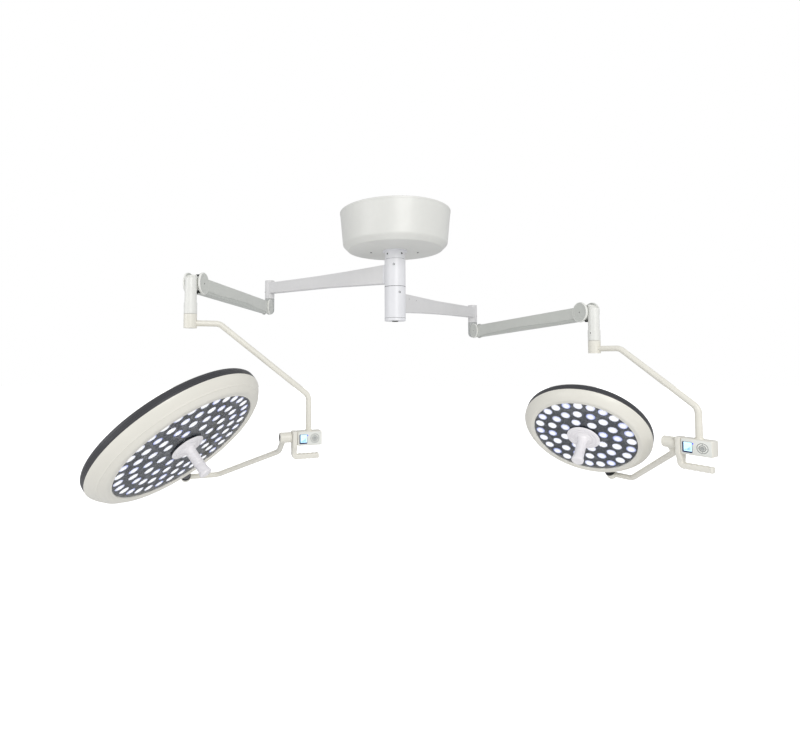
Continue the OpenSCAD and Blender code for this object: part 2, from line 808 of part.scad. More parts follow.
// Barrel that turns on the control box's pin
module tilt_barrel(i)
    color([0.93, 0.92, 0.87]) translate([reach[i], 0, 0]) difference() {
        along_x(barrel_d / 2, box_left - barrel_len - 0.8, box_left - 0.8);
        along_x(tilt_pin_r + running, box_left - barrel_len + 5, box_left);
        translate([bow_x, 0, -60]) cylinder(r = tube_r, h = 60 - 11);
    }

function bow_path(i) = [
    [reach[i] + bow_x, -11],
    [reach[i] + bow_x, -bow_first_drop[i]],
    [bow_second_x[i], -head_r[i] - rim_gap],
    [head_x[i] + rim_joint_r - 6, -head_r[i] - rim_gap]
];

// Bent tube with the rim joint's knuckle and pin at its end
module lower_bow(i)
    color([0.93, 0.92, 0.87]) {
        pipe(bow_path(i), tube_r, tube_r - tube_wall);
        translate([head_x[i], 0, -head_r[i] - rim_gap - 17]) {
            translate([0, 0, 5]) cylinder(r = rim_joint_r, h = 34);
            cylinder(r1 = rim_joint_r - 5, r2 = rim_joint_r, h = 5);
            cylinder(r = rim_pin_r, h = 75);
        }
    }

// ---- Head: its own axis is z, the light leaves towards -z ----

function face_z(i) = face_inset - head_t[i] / 2;
function opening_r(i) = head_r[i] * opening_share;

// Socket for the bow's pin in the rim, taken out of a part or added to it
module rim_socket(i, r, from, to)
    translate([0, 0, -head_shift[i]]) along_y(r, head_r[i] - from, head_r[i] + to);

module head_back(i) {
    arc_steps = 12;
    rim = head_r[i] - 12;
    color([0.93, 0.92, 0.89]) difference() {
        rotate_extrude($fn = 128)
            polygon([
                for (k = [0 : arc_steps]) let (a = 90 * k / arc_steps)
                    [rim * sin(a), head_t[i] / 2 + crown_h * pow(cos(a), 0.8)],
                [rim, head_t[i] / 2 - 3],
                [rim - 4, head_t[i] / 2 - 3],
                for (k = [arc_steps : -1 : 0]) let (a = 90 * k / arc_steps)
                    [(rim - 4) * sin(a), head_t[i] / 2 - 3 + crown_h * pow(cos(a), 0.8)]
            ]);
        rim_socket(i, rim_joint_r + seam_gap, 60, 5);
    }
}

// Dark band round the rim with the socket of the rim joint
module rim_band(i)
    color([0.2, 0.2, 0.22]) difference() {
        union() {
            translate([0, 0, head_t[i] / 2 - band_h]) rotate_extrude($fn = 128)
                polygon([
                    [head_r[i] - 26, 0],
                    [head_r[i] - 2, 0],
                    [head_r[i], 2],
                    [head_r[i], band_h - 6],
                    [head_r[i] - 4, band_h - 1],
                    [head_r[i] - 12, band_h],
                    [head_r[i] - 12, band_h - 3],
                    [head_r[i] - 26, band_h - 3]
                ]);
            rim_socket(i, rim_joint_r, 40, 5);
            translate([-rim_joint_r, head_r[i] - 40, -head_shift[i]])
                cube([2 * rim_joint_r, 20, head_t[i] / 2 - band_h / 2 + head_shift[i]]);
        }
        rim_socket(i, rim_pin_r + running, 60, 30);
    }

// Inset of the bezel's front edge as a share of the radius, and how it rounds off
bezel_inset = 0.135;
bezel_round = 0.75;

// Points of the bezel's outer side, bulging from the band down to the lip
function bezel_side(i, inset) = [
    for (k = [0 : 8]) let (a = 90 * k / 8)
        [head_r[i] * (1 - bezel_inset * pow(1 - cos(a), bezel_round)) - inset,
         head_t[i] / 2 - band_h - (head_t[i] - band_h) * pow(sin(a), 1.15) + (k == 8 ? inset : 0)]
];

module bezel(i)
    color([0.93, 0.92, 0.86]) difference() {
        rotate_extrude($fn = 128)
            polygon(concat(
                bezel_side(i, 0),
                [[opening_r(i) + 4, -head_t[i] / 2],
                 [opening_r(i), face_z(i) + 1], [opening_r(i), face_z(i) + 12],
                 [opening_r(i) + 5, face_z(i) + 12], [opening_r(i) + 8, face_z(i) + 1]],
                [for (k = [7 : -1 : 0]) bezel_side(i, 3.5)[k] + [0, k == 0 ? 0 : 1]]
            ));
        rim_socket(i, rim_joint_r + 0.2, 60, 30);
    }

// Aluminium board that carries the lenses, with the driver behind it
module led_board(i)
    color([0.25, 0.26, 0.28]) {
        translate([0, 0, face_z(i) + 12]) ring(opening_r(i) + 4, mount_r + 0.5, 4);
        translate([-60, 35, face_z(i) + 16]) cube([120, 50, 22]);
    }

module lenses(i)
    color("white")
        for (r = [0 : rings[i] - 1]) let (count = ring_step * (r + 1))
            for (k = [0 : count - 1])
                rotate([0, 0, (k + 0.5 * (r % 2)) * 360 / count])
                    translate([lens_pitch_r[i][r], 0, face_z(i) + 4])
                        cylinder(d1 = lens_d, d2 = lens_d * 0.6, h = 8);

module front_glass(i)
    color([0.9, 0.95, 1, 0.35]) translate([0, 0, face_z(i)]) ring(opening_r(i), mount_r, 3);

// Mount in the middle of the head, with the spigot for the sterile handle
module handle_mount(i)
    color([0.75, 0.75, 0.77]) {
        translate([0, 0, face_z(i) - 6]) cylinder(r = mount_r, h = 23);
        translate([0, 0, face_z(i) - 90]) cylinder(r = 10, h = 90);
    }

// Removable handle: guard disc and flared grip
module sterile_handle(i)
    color([0.94, 0.92, 0.93]) difference() {
        translate([0, 0, face_z(i)]) rotate_extrude()
            polygon([
                [0, -6.5],
                [guard_d / 2 - 14, -6.5],
                [guard_d / 2, -4],
                [guard_d / 2, -6.5],
                [guard_d / 2 - 6, -9.5],
                [handle_d / 2 + 4, -12],
                [handle_d / 2, -18],
                [handle_d / 2 - 1, 30 - handle_len],
                [handle_d / 2 + 3, 12 - handle_len],
                [handle_d / 2 + 3, 4 - handle_len],
                [handle_d / 2, -handle_len],
                [0, -handle_len]
            ]);
        translate([0, 0, face_z(i) - 91]) cylinder(r = 10 + running, h = 100);
    }

ceiling_flange();
canopy_cover();
canopy_screws();
power_supplies();
spindle();
spindle_collar();
hub_bushes();
spindle_cap();

at_arm(large) hub(large);  // large_hub
at_arm(large) extension_arm(large);  // large_extension_arm
at_elbow(large) rear_knuckle(large);  // large_rear_knuckle
at_spring(large) arm_shell(large);  // large_arm_shell
at_spring(large) arm_belly(large);  // large_arm_belly
at_spring(large) pivot_pins(large);  // large_pivot_pins
at_spring(large) balance_spring(large);  // large_balance_spring
at_elbow(large) link_rod(large);  // large_link_rod
at_front(large) front_knuckle(large);  // large_front_knuckle
at_yoke(large) yoke_socket(large);  // large_yoke_socket
at_yoke(large) yoke_tube(large);  // large_yoke_tube
at_box(large) control_box(large);  // large_control_box
at_box(large) box_panel(large);  // large_box_panel
at_box(large) display(large);  // large_display
at_box(large) power_button(large);  // large_power_button
at_box(large) side_handle(large);  // large_side_handle
at_bow(large) tilt_barrel(large);  // large_tilt_barrel
at_bow(large) lower_bow(large);  // large_lower_bow
at_head(large) head_back(large);  // large_head_back
at_head(large) rim_band(large);  // large_rim_band
at_head(large) bezel(large);  // large_bezel
at_head(large) led_board(large);  // large_led_board
at_head(large) lenses(large);  // large_lenses
at_head(large) front_glass(large);  // large_front_glass
at_head(large) handle_mount(large);  // large_handle_mount
at_head(large) sterile_handle(large);  // large_sterile_handle

at_arm(small) hub(small);  // small_hub
at_arm(small) extension_arm(small);  // small_extension_arm
at_elbow(small) rear_knuckle(small);  // small_rear_knuckle
at_spring(small) arm_shell(small);  // small_arm_shell
at_spring(small) arm_belly(small);  // small_arm_belly
at_spring(small) pivot_pins(small);  // small_pivot_pins
at_spring(small) balance_spring(small);  // small_balance_spring
at_elbow(small) link_rod(small);  // small_link_rod
at_front(small) front_knuckle(small);  // small_front_knuckle
at_yoke(small) yoke_socket(small);  // small_yoke_socket
at_yoke(small) yoke_tube(small);  // small_yoke_tube
at_box(small) control_box(small);  // small_control_box
at_box(small) box_panel(small);  // small_box_panel
at_box(small) display(small);  // small_display
at_box(small) power_button(small);  // small_power_button
at_box(small) side_handle(small);  // small_side_handle
at_bow(small) tilt_barrel(small);  // small_tilt_barrel
at_bow(small) lower_bow(small);  // small_lower_bow
at_head(small) head_back(small);  // small_head_back
at_head(small) rim_band(small);  // small_rim_band
at_head(small) bezel(small);  // small_bezel
at_head(small) led_board(small);  // small_led_board
at_head(small) lenses(small);  // small_lenses
at_head(small) front_glass(small);  // small_front_glass
at_head(small) handle_mount(small);  // small_handle_mount
at_head(small) sterile_handle(small);  // small_sterile_handle
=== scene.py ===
"""Looks of a ceiling-mounted surgical light with two lamp heads.

Every piece is drawn in millimetres in the frame of the body that carries it. The joints
of the record give those frames, and the CAD nodes give the sizes.
"""
import json
import math

import bmesh
import bpy
import numpy as np
from mathutils import Matrix, Vector

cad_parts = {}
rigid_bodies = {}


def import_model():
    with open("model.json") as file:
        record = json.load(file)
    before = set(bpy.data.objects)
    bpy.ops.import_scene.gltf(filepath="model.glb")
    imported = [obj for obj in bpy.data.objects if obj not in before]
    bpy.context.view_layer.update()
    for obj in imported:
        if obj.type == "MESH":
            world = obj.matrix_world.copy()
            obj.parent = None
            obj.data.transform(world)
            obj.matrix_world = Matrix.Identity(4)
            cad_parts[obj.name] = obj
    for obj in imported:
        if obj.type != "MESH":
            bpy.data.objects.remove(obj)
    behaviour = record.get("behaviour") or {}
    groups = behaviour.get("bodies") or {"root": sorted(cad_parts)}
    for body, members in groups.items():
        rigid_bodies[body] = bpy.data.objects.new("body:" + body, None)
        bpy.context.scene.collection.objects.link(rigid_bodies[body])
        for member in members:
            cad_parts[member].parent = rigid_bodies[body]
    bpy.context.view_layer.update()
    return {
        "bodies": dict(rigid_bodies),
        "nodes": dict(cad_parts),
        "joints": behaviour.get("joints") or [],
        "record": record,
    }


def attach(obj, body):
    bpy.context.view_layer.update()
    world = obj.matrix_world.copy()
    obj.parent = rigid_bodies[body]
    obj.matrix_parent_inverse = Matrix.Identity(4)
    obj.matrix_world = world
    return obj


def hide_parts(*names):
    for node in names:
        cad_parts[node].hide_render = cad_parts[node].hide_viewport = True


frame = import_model()

NODES = frame["nodes"]
JOINTS = {joint["name"]: joint for joint in frame["record"]["behaviour"]["joints"]}
LAMPS = ("large", "small")
MM = 0.001
X, Y, Z = Vector((1, 0, 0)), Vector((0, 1, 0)), Vector((0, 0, 1))
# Every frame takes millimetres to the scene's metres, so shapes are drawn in millimetres
AT_ORIGIN = Matrix.Scale(MM, 4)

# ---- Camera, lights and floor ----

CAMERA_POS = (-0.179, -2.322, -0.710)
CAMERA_PITCH = 2.78
FOCAL_MM = 21.35
FRAME_SHIFT = (0.0516, -0.048)
FLOOR_Z = -2.75


def add_camera():
    camera = bpy.data.objects.new("camera", bpy.data.cameras.new("camera"))
    bpy.context.scene.collection.objects.link(camera)
    camera.location = CAMERA_POS
    camera.rotation_euler = (math.radians(90 + CAMERA_PITCH), 0, 0)
    camera.data.sensor_width = 36
    camera.data.lens = FOCAL_MM
    camera.data.shift_x, camera.data.shift_y = FRAME_SHIFT
    bpy.context.scene.camera = camera


def add_area_light(name, position, target, size, watts, colour):
    light = bpy.data.lights.new(name, "AREA")
    light.shape = "DISK"
    light.size = size
    light.energy = watts
    light.color = colour
    lamp = bpy.data.objects.new(name, light)
    bpy.context.scene.collection.objects.link(lamp)
    lamp.location = position
    lamp.rotation_euler = (Vector(target) - Vector(position)).to_track_quat("-Z", "Y").to_euler()


def add_world():
    """White to the camera, and a dimmer grey for what lights the object."""
    world = bpy.data.worlds.new("studio")
    world.use_nodes = True
    tree = world.node_tree
    light = tree.nodes["Background"]
    light.inputs["Color"].default_value = (0.97, 0.98, 1, 1)
    light.inputs["Strength"].default_value = 0.62
    white = tree.nodes.new("ShaderNodeBackground")
    white.inputs["Color"].default_value = (1, 1, 1, 1)
    blend = tree.nodes.new("ShaderNodeMixShader")
    tree.links.new(tree.nodes.new("ShaderNodeLightPath").outputs["Is Camera Ray"], blend.inputs[0])
    tree.links.new(light.outputs[0], blend.inputs[1])
    tree.links.new(white.outputs[0], blend.inputs[2])
    tree.links.new(blend.outputs[0], tree.nodes["World Output"].inputs["Surface"])
    bpy.context.scene.world = world


def add_studio():
    add_world()
    bpy.context.scene.view_settings.view_transform = "Standard"
    add_area_light("key", (0.9, -4.0, 0.7), (0, 0, -0.6), 2.4, 62, (1, 0.995, 0.98))
    add_area_light("side", (-3.4, -2.0, -0.2), (0, 0, -0.7), 2.0, 16, (1, 1, 1))
    bpy.ops.mesh.primitive_plane_add(size=60, location=(0, 0, FLOOR_Z))
    floor = bpy.context.object
    floor.name = "floor"
    floor.data.materials.append(MATERIALS["floor"])


# ---- Materials ----


def linear(red, green, blue):
    """Scene colour of a display colour given from 0 to 255."""
    def one(value):
        share = value / 255
        return share / 12.92 if share <= 0.04045 else ((share + 0.055) / 1.055) ** 2.4
    return (one(red), one(green), one(blue), 1)


class Shader:
    """A principled shader whose colour, roughness and relief come from noise."""

    def __init__(self, name, rough, metal=0.0, coat=0.0):
        self.material = bpy.data.materials.new(name)
        self.material.use_nodes = True
        self.tree = self.material.node_tree
        self.main = self.tree.nodes["Principled BSDF"]
        self.main.inputs["Metallic"].default_value = metal
        self.main.inputs["Coat Weight"].default_value = coat
        self.main.inputs["Coat Roughness"].default_value = 0.15
        self.main.inputs["Roughness"].default_value = rough
        self.place = self.tree.nodes.new("ShaderNodeTexCoord").outputs["Object"]

    def node(self, kind, values=None, **settings):
        """Adds a node, with values for its inputs and settings of its own."""
        made = self.tree.nodes.new(kind)
        for key, value in settings.items():
            setattr(made, key, value)
        for key, value in (values or {}).items():
            made.inputs[key].default_value = value
        return made

    def link(self, source, target):
        self.tree.links.new(source, target)

    def noise(self, scale, detail=3.0, stretch=None):
        texture = self.node("ShaderNodeTexNoise", {"Scale": scale, "Detail": detail})
        if stretch:
            mapping = self.node("ShaderNodeMapping", {"Scale": stretch})
            self.link(self.place, mapping.inputs["Vector"])
            self.link(mapping.outputs["Vector"], texture.inputs["Vector"])
        else:
            self.link(self.place, texture.inputs["Vector"])
        return texture.outputs["Fac"]

    def spread(self, source, low, high):
        """Maps the middle of a noise to the range from low to high."""
        limits = {"From Min": 0.3, "From Max": 0.7, "To Min": low, "To Max": high}
        ramp = self.node("ShaderNodeMapRange", limits)
        self.link(source, ramp.inputs["Value"])
        return ramp.outputs["Result"]

    def cloud(self, scale, detail, low=0.0, high=1.0, stretch=None):
        return self.spread(self.noise(scale, detail, stretch), low, high)

    def mix(self, share, first, second):
        """Blends two colours, each a value or an output, by a share."""
        blend = self.node("ShaderNodeMix", data_type="RGBA")
        for socket, value in ((blend.inputs[6], first), (blend.inputs[7], second)):
            if isinstance(value, tuple):
                socket.default_value = value
            else:
                self.link(value, socket)
        self.link(share, blend.inputs[0])
        return blend.outputs[2]

    def colour(self, source):
        self.link(source, self.main.inputs["Base Color"])

    def glow(self, source, strength):
        self.colour(source)
        self.link(source, self.main.inputs["Emission Color"])
        self.main.inputs["Emission Strength"].default_value = strength

    def roughness(self, source):
        self.link(source, self.main.inputs["Roughness"])

    def relief(self, height, depth_mm, strength=0.5):
        bump = self.node("ShaderNodeBump", {"Distance": depth_mm * MM, "Strength": strength})
        self.link(height, bump.inputs["Height"])
        self.link(bump.outputs["Normal"], self.main.inputs["Normal"])


def darker(colour, share):
    return tuple(c * share for c in colour[:3]) + (1,)


def powder_coat(name, colour, rough=0.42, metal=0.0):
    """Painted metal: fine orange peel, faint mottling and handling marks."""
    shader = Shader(name, rough, metal, coat=0.12)
    mottle = shader.cloud(7, 4)
    grime = shader.cloud(38, 6, 0.0, 0.35)
    base = shader.mix(mottle, darker(colour, 0.955), colour)
    shader.colour(shader.mix(grime, base, darker(colour, 0.93)))
    shader.roughness(shader.cloud(55, 5, rough - 0.06, rough + 0.08))
    shader.relief(shader.noise(900, 2), 0.12, 0.35)
    return shader.material


def moulding(name, colour, rough=0.34, grain=1500):
    """Moulded plastic: fine spark-eroded grain and a soft sheen of handling."""
    shader = Shader(name, rough, coat=0.08)
    tone = shader.cloud(5, 3)
    shader.colour(shader.mix(tone, darker(colour, 0.965), colour))
    shader.roughness(shader.cloud(30, 5, rough - 0.05, rough + 0.07))
    shader.relief(shader.noise(grain, 2), 0.06, 0.4)
    return shader.material


def worn_metal(name, colour, rough=0.32, stretch=(1, 1, 30)):
    """Bare metal with fine drawn lines and slight staining."""
    shader = Shader(name, rough, metal=1.0)
    stain = shader.cloud(22, 5, 0.0, 0.6)
    shader.colour(shader.mix(stain, colour, darker(colour, 0.8)))
    lines = shader.noise(60, 4, stretch)
    shader.roughness(shader.spread(lines, rough - 0.08, rough + 0.12))
    shader.relief(lines, 0.05, 0.3)
    return shader.material


def clear_cover(name):
    """Clear cover: almost invisible face on, mirror-like at a glance, faintly smudged."""
    shader = Shader(name, 0.04)
    smudge = shader.cloud(11, 6)
    shader.colour(shader.mix(smudge, (0.02, 0.03, 0.04, 1), (0.06, 0.07, 0.09, 1)))
    shader.roughness(shader.cloud(16, 4, 0.02, 0.07))
    shader.main.inputs["Alpha"].default_value = 0.36
    shader.main.inputs["IOR"].default_value = 2.6
    return shader.material


def lit_lens(name):
    """Lit lens: white in the middle, with a bluish rim that differs from lens to lens."""
    shader = Shader(name, 0.12, coat=0.5)
    edge = shader.node("ShaderNodeAttribute", attribute_name="edge").outputs["Fac"]
    tint = shader.node("ShaderNodeAttribute", attribute_name="tint").outputs["Fac"]
    steep = shader.node("ShaderNodeMath", {1: 3.2}, operation="POWER")
    shader.link(edge, steep.inputs[0])
    share = shader.node("ShaderNodeMath", operation="MULTIPLY")
    shader.link(steep.outputs[0], share.inputs[0])
    shader.link(tint, share.inputs[1])
    wisps = shader.cloud(140, 2, 0.0, 0.12)
    core = shader.mix(wisps, (1, 1, 1, 1), (0.82, 0.9, 1, 1))
    shader.glow(shader.mix(share.outputs[0], core, (0.12, 0.2, 0.72, 1)), 2.0)
    return shader.material


def lit_screen(name):
    """Lit display: pale cyan with a faint vertical gradient and fine cells."""
    shader = Shader(name, 0.15, coat=0.3)
    bands = shader.cloud(90, 1, 0.0, 0.5, (0.2, 0.2, 3))
    shader.glow(shader.mix(bands, linear(196, 236, 252), linear(160, 214, 246)), 0.85)
    return shader.material


def glowing_dot(name):
    shader = Shader(name, 0.2, coat=0.5)
    shader.glow(shader.mix(shader.cloud(300, 2), linear(20, 20, 225), linear(50, 60, 250)), 0.8)
    return shader.material


def led_plate(name):
    """Dark polished plate with broad bright and dark streaks of painted reflection and a bluish cast."""
    shader = Shader(name, 0.3, metal=0.5)
    waves = {"Scale": 2.6, "Distortion": 9.0, "Detail": 3.0, "Detail Scale": 2.0}
    # Wave bands that lay painted reflections, bright and dark streaks, into the plate's colour
    painted_reflection_streaks = shader.node("ShaderNodeTexWave", waves, wave_type="BANDS", bands_direction="DIAGONAL")
    shader.link(shader.place, painted_reflection_streaks.inputs["Vector"])
    cast = shader.mix(shader.cloud(14, 3), linear(50, 52, 58), linear(76, 90, 118))
    # Painted reflection: the streak bands blend the base towards a light grey
    shader.colour(shader.mix(shader.spread(painted_reflection_streaks.outputs["Fac"], -0.5, 1.3), cast, linear(172, 175, 182)))
    shader.roughness(shader.cloud(26, 4, 0.22, 0.42))
    shader.relief(shader.noise(420, 2), 0.1, 0.3)
    return shader.material


def floor_paint(name):
    """Pale floor that runs into the white of the background."""
    shader = Shader(name, 0.7)
    cloud = shader.cloud(0.6, 3)
    shader.colour(shader.mix(cloud, (0.93, 0.93, 0.93, 1), (0.96, 0.96, 0.96, 1)))
    distance = shader.node("ShaderNodeVectorMath", operation="LENGTH")
    shader.link(shader.place, distance.inputs[0])
    limits = {"From Min": 1.0, "From Max": 6.0, "To Min": 0.35, "To Max": 1.0}
    fade = shader.node("ShaderNodeMapRange", limits)
    shader.link(distance.outputs["Value"], fade.inputs["Value"])
    seen = shader.node("ShaderNodeMath", operation="MULTIPLY")
    shader.link(fade.outputs["Result"], seen.inputs[0])
    shader.link(shader.node("ShaderNodeLightPath").outputs["Is Camera Ray"], seen.inputs[1])
    shader.main.inputs["Emission Color"].default_value = (1, 1, 1, 1)
    shader.link(seen.outputs[0], shader.main.inputs["Emission Strength"])
    return shader.material


MATERIALS = {
    "floor": floor_paint("floor_paint"),
    "canopy": powder_coat("canopy_coat", linear(233, 233, 228), 0.36),
    "column": powder_coat("column_coat", linear(243, 243, 246), 0.34),
    "arm": powder_coat("arm_coat", linear(230, 229, 229), 0.34),
    "knuckle": powder_coat("knuckle_coat", linear(190, 192, 190), 0.4),
    "shell": powder_coat("shell_coat", linear(216, 218, 212), 0.36),
    "belly": powder_coat("belly_coat", linear(203, 206, 200), 0.38),
    "disc": moulding("disc_face", linear(212, 214, 208)),
    "disc_rim": moulding("disc_rim", linear(243, 243, 238)),
    "post": powder_coat("post_coat", linear(240, 240, 235), 0.33),
    "cream": powder_coat("cream_coat", linear(240, 237, 226), 0.33),
    "cream_plastic": moulding("cream_moulding", linear(239, 236, 226)),
    "panel": moulding("panel_film", linear(238, 239, 233), 0.3, 2400),
    "band": moulding("band_rubber", linear(62, 62, 66), 0.45, 900),
    "handle": moulding("handle_moulding", linear(252, 249, 251), 0.3, 1100),
    "navy": moulding("navy_frame", linear(28, 44, 92), 0.25),
    "key_ring": moulding("key_ring", linear(96, 100, 99), 0.4),
    "bars": moulding("screen_bars", linear(120, 180, 222), 0.3),
    "key": moulding("key_face", linear(176, 179, 176), 0.4),
    "black": moulding("black_plastic", linear(12, 12, 13), 0.7),
    "screw": worn_metal("dark_screw", (0.09, 0.09, 0.10, 1), 0.35),
    "bright_screw": worn_metal("bright_screw", (0.5, 0.5, 0.48, 1), 0.3),
    "zinc": worn_metal("zinc_steel", (0.62, 0.62, 0.64, 1), 0.34),
    "spring": worn_metal("oiled_spring", (0.2, 0.2, 0.22, 1), 0.3, (20, 1, 1)),
    "bronze": worn_metal("bearing_bronze", (0.45, 0.28, 0.12, 1), 0.4),
    "supply": worn_metal("supply_case", (0.5, 0.53, 0.58, 1), 0.4),
    "mount": worn_metal("mount_metal", (0.6, 0.6, 0.62, 1), 0.3),
    "board": led_plate("led_plate"),
    "cup": moulding("lens_cup", linear(88, 90, 98), 0.35),
    "lens": lit_lens("lit_lens"),
    "clear": clear_cover("clear_cover"),
    "screen": lit_screen("lit_screen"),
    "dot": glowing_dot("glowing_dot"),
}

# The CAD nodes that show as they are, or lie inside: node and material
KEPT_NODES = {
    "ceiling_flange": "zinc", "canopy_screws": "screw", "power_supplies": "supply",
    "spindle": "zinc", "hub_bushes": "bronze", "spindle_cap": "black",
    "balance_spring": "spring", "link_rod": "zinc", "handle_mount": "mount",
    "led_board": "board",
}

# ---- Frames of the moving bodies ----


def frame_from(origin, x_axis, z_axis):
    """Matrix of a frame from its origin and its x and z directions."""
    x_axis = x_axis.normalized()
    z_axis = z_axis.normalized()
    y_axis = z_axis.cross(x_axis)
    rows = [[x_axis[k], y_axis[k], z_axis[k], origin[k]] for k in range(3)]
    return Matrix(rows + [[0, 0, 0, 1]])


def flat(vector):
    return Vector((vector.x, vector.y, 0))


def lamp_frames(lamp):
    """Frames of one lamp's bodies, read from its joints."""
    def at(name):
        return Vector(JOINTS[f"{lamp}_{name}"]["pos_m"])

    def along(name):
        return Vector(JOINTS[f"{lamp}_{name}"]["axis"])

    # The head's frame starts this far above the handle's joint
    head_rise = 80 * MM
    elbow, lift, level = at("elbow_swing"), at("arm_lift"), at("post_level")
    post, gimbal = at("yoke_swing"), at("bow_tilt")
    spring_x = (level - lift).normalized()
    bow_z = along("head_turn")
    beam_z = -along("handle_turn")
    frames = {
        "arm": frame_from(Vector((0, 0, 0)), flat(elbow), Z),
        "elbow": frame_from(elbow, flat(level - lift), Z),
        "spring": frame_from(lift, spring_x, spring_x.cross(-along("arm_lift"))),
        "front": frame_from(level, flat(level - lift), Z),
        "yoke": frame_from(post, along("bow_tilt"), Z),
        "box": frame_from(gimbal, along("bow_tilt"), Z),
        "bow": frame_from(Vector((post.x, post.y, gimbal.z)), along("bow_tilt"), bow_z),
        "head": frame_from(at("handle_turn") + head_rise * beam_z, (-bow_z).cross(beam_z), beam_z),
    }
    return {name: frame @ AT_ORIGIN for name, frame in frames.items()}


FRAMES = {lamp: lamp_frames(lamp) for lamp in LAMPS}


def local_points(node, place):
    """Vertices of a CAD node in a frame, one row for each."""
    vertices = NODES[node].data.vertices
    points = np.empty(3 * len(vertices))
    vertices.foreach_get("co", points)
    back = np.array(place.inverted())
    return points.reshape(-1, 3) @ back[:3, :3].T + back[:3, 3]


def extent(node, place):
    """Lowest and highest corner of a CAD node in a frame."""
    points = local_points(node, place)
    return Vector(points.min(axis=0)), Vector(points.max(axis=0))


# ---- Mesh helpers ----


def add_piece(name, mesh, body, materials, stands_for=(), sharp=35):
    """Makes the mesh a piece that rides on a body, with its materials and its finish."""
    mesh.shade_smooth()
    mesh.set_sharp_from_angle(angle=math.radians(sharp))
    piece = bpy.data.objects.new(name, mesh)
    bpy.context.scene.collection.objects.link(piece)
    for key in materials:
        mesh.materials.append(MATERIALS[key])
    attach(piece, body)
    if stands_for:
        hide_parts(*stands_for)
    return piece


def add_bevel(piece, width, segments=2, angle=30):
    bevel = piece.modifiers.new("bevel", "BEVEL")
    bevel.width = width * MM
    bevel.segments = segments
    bevel.limit_method = "ANGLE"
    bevel.angle_limit = math.radians(angle)
    bevel.harden_normals = True


def circle(radius, z, steps):
    """Points of a level circle round the z axis."""
    turns = [math.tau * k / steps for k in range(steps)]
    return [Vector((radius * math.cos(turn), radius * math.sin(turn), z)) for turn in turns]


def heading(angle):
    """Level direction at an angle in degrees from the x axis."""
    return Matrix.Rotation(math.radians(angle), 3, "Z") @ X


class Builder:
    """Collects rings, strips and lathes into one mesh."""

    def __init__(self, name):
        self.name = name
        self.points = []
        self.faces = []
        self.marks = []

    def add_points(self, points):
        start = len(self.points)
        self.points.extend(points)
        return start

    def add_face(self, corners, mark=0):
        self.faces.append(tuple(corners))
        self.marks.append(mark)

    def loft(self, rings, ends=True, mark=0, closed=False):
        """Skins a row of equal rings; closed joins the last ring to the first."""
        size = len(rings[0])
        starts = [self.add_points(ring) for ring in rings]
        pairs = list(zip(starts, starts[1:]))
        if closed:
            pairs.append((starts[-1], starts[0]))
        for a, b in pairs:
            for k in range(size):
                n = (k + 1) % size
                self.add_face((a + k, a + n, b + n, b + k), mark)
        if ends and not closed:
            self.add_face([starts[0] + k for k in reversed(range(size))], mark)
            self.add_face([starts[-1] + k for k in range(size)], mark)

    def lathe(self, profile, place, steps=96, marks=None, closed=True):
        """Turns a profile of (radius, z) round the z axis of a frame."""
        starts = []
        for radius, z in profile:
            if radius == 0:
                starts.append((self.add_points([place @ Vector((0, 0, z))]), True))
                continue
            starts.append((self.add_points([place @ point for point in circle(radius, z, steps)]), False))
        count = len(profile)
        for j in range(count if closed else count - 1):
            (a, a_pole), (b, b_pole) = starts[j], starts[(j + 1) % count]
            mark = marks[j] if marks else 0
            for k in range(steps):
                n = (k + 1) % steps
                if a_pole and b_pole:
                    break
                if a_pole:
                    self.add_face((a, b + n, b + k), mark)
                elif b_pole:
                    self.add_face((a + k, a + n, b), mark)
                else:
                    self.add_face((a + k, a + n, b + n, b + k), mark)

    def prism(self, outline, place, low, high, mark=0):
        """Extrudes an outline of (x, y) along the z axis of a frame."""
        self.loft([[place @ Vector((x, y, z)) for x, y in outline] for z in (low, high)], mark=mark)

    def add(self, body, slot, materials, stands_for=()):
        return add_piece(self.name, self.mesh(), body, materials, stands_for)

    def mesh(self):
        mesh = bpy.data.meshes.new(self.name)
        mesh.from_pydata([tuple(p) for p in self.points], [], self.faces)
        for polygon, mark in zip(mesh.polygons, self.marks):
            polygon.material_index = mark
        work = bmesh.new()
        work.from_mesh(mesh)
        bmesh.ops.remove_doubles(work, verts=work.verts, dist=1e-6)
        bmesh.ops.recalc_face_normals(work, faces=work.faces)
        work.to_mesh(mesh)
        work.free()
        return mesh


def soften(name, nodes, body, material, width, angle=32):
    """Copies CAD nodes of one body into a piece with rounded edges that stands for them."""
    work = bmesh.new()
    for node in nodes:
        work.from_mesh(NODES[node].data)
    bmesh.ops.remove_doubles(work, verts=work.verts, dist=2e-6)
    bmesh.ops.dissolve_limit(
        work, angle_limit=math.radians(0.8), verts=work.verts, edges=work.edges, delimit={"NORMAL"})
    mesh = bpy.data.meshes.new(name)
    work.to_mesh(mesh)
    work.free()
    mesh.materials.clear()
    for polygon in mesh.polygons:
        polygon.material_index = 0
    piece = add_piece(name, mesh, body, [material], nodes)
    add_bevel(piece, width, angle=angle)
    return piece


def arc(centre, radius, start, end, steps=6):
    """Points (x, y) of an arc between two angles in degrees."""
    angles = [math.radians(start + (end - start) * k / steps) for k in range(steps + 1)]
    return [(centre[0] + radius * math.cos(a), centre[1] + radius * math.sin(a)) for a in angles]


def block(r0, r1, z0, z1):
    """Profile of a plain ring or disc."""
    return [(r0, z0), (r1, z0), (r1, z1), (r0, z1)]


def rounded_box(x0, x1, y0, y1, radius):
    """Outline of a rectangle with round corners."""
    right, left, top, bottom = x1 - radius, x0 + radius, y1 - radius, y0 + radius
    corners = ((right, top), (left, top), (left, bottom), (right, bottom))
    return [point for k, corner in enumerate(corners) for point in arc(corner, radius, 90 * k, 90 * k + 90)]


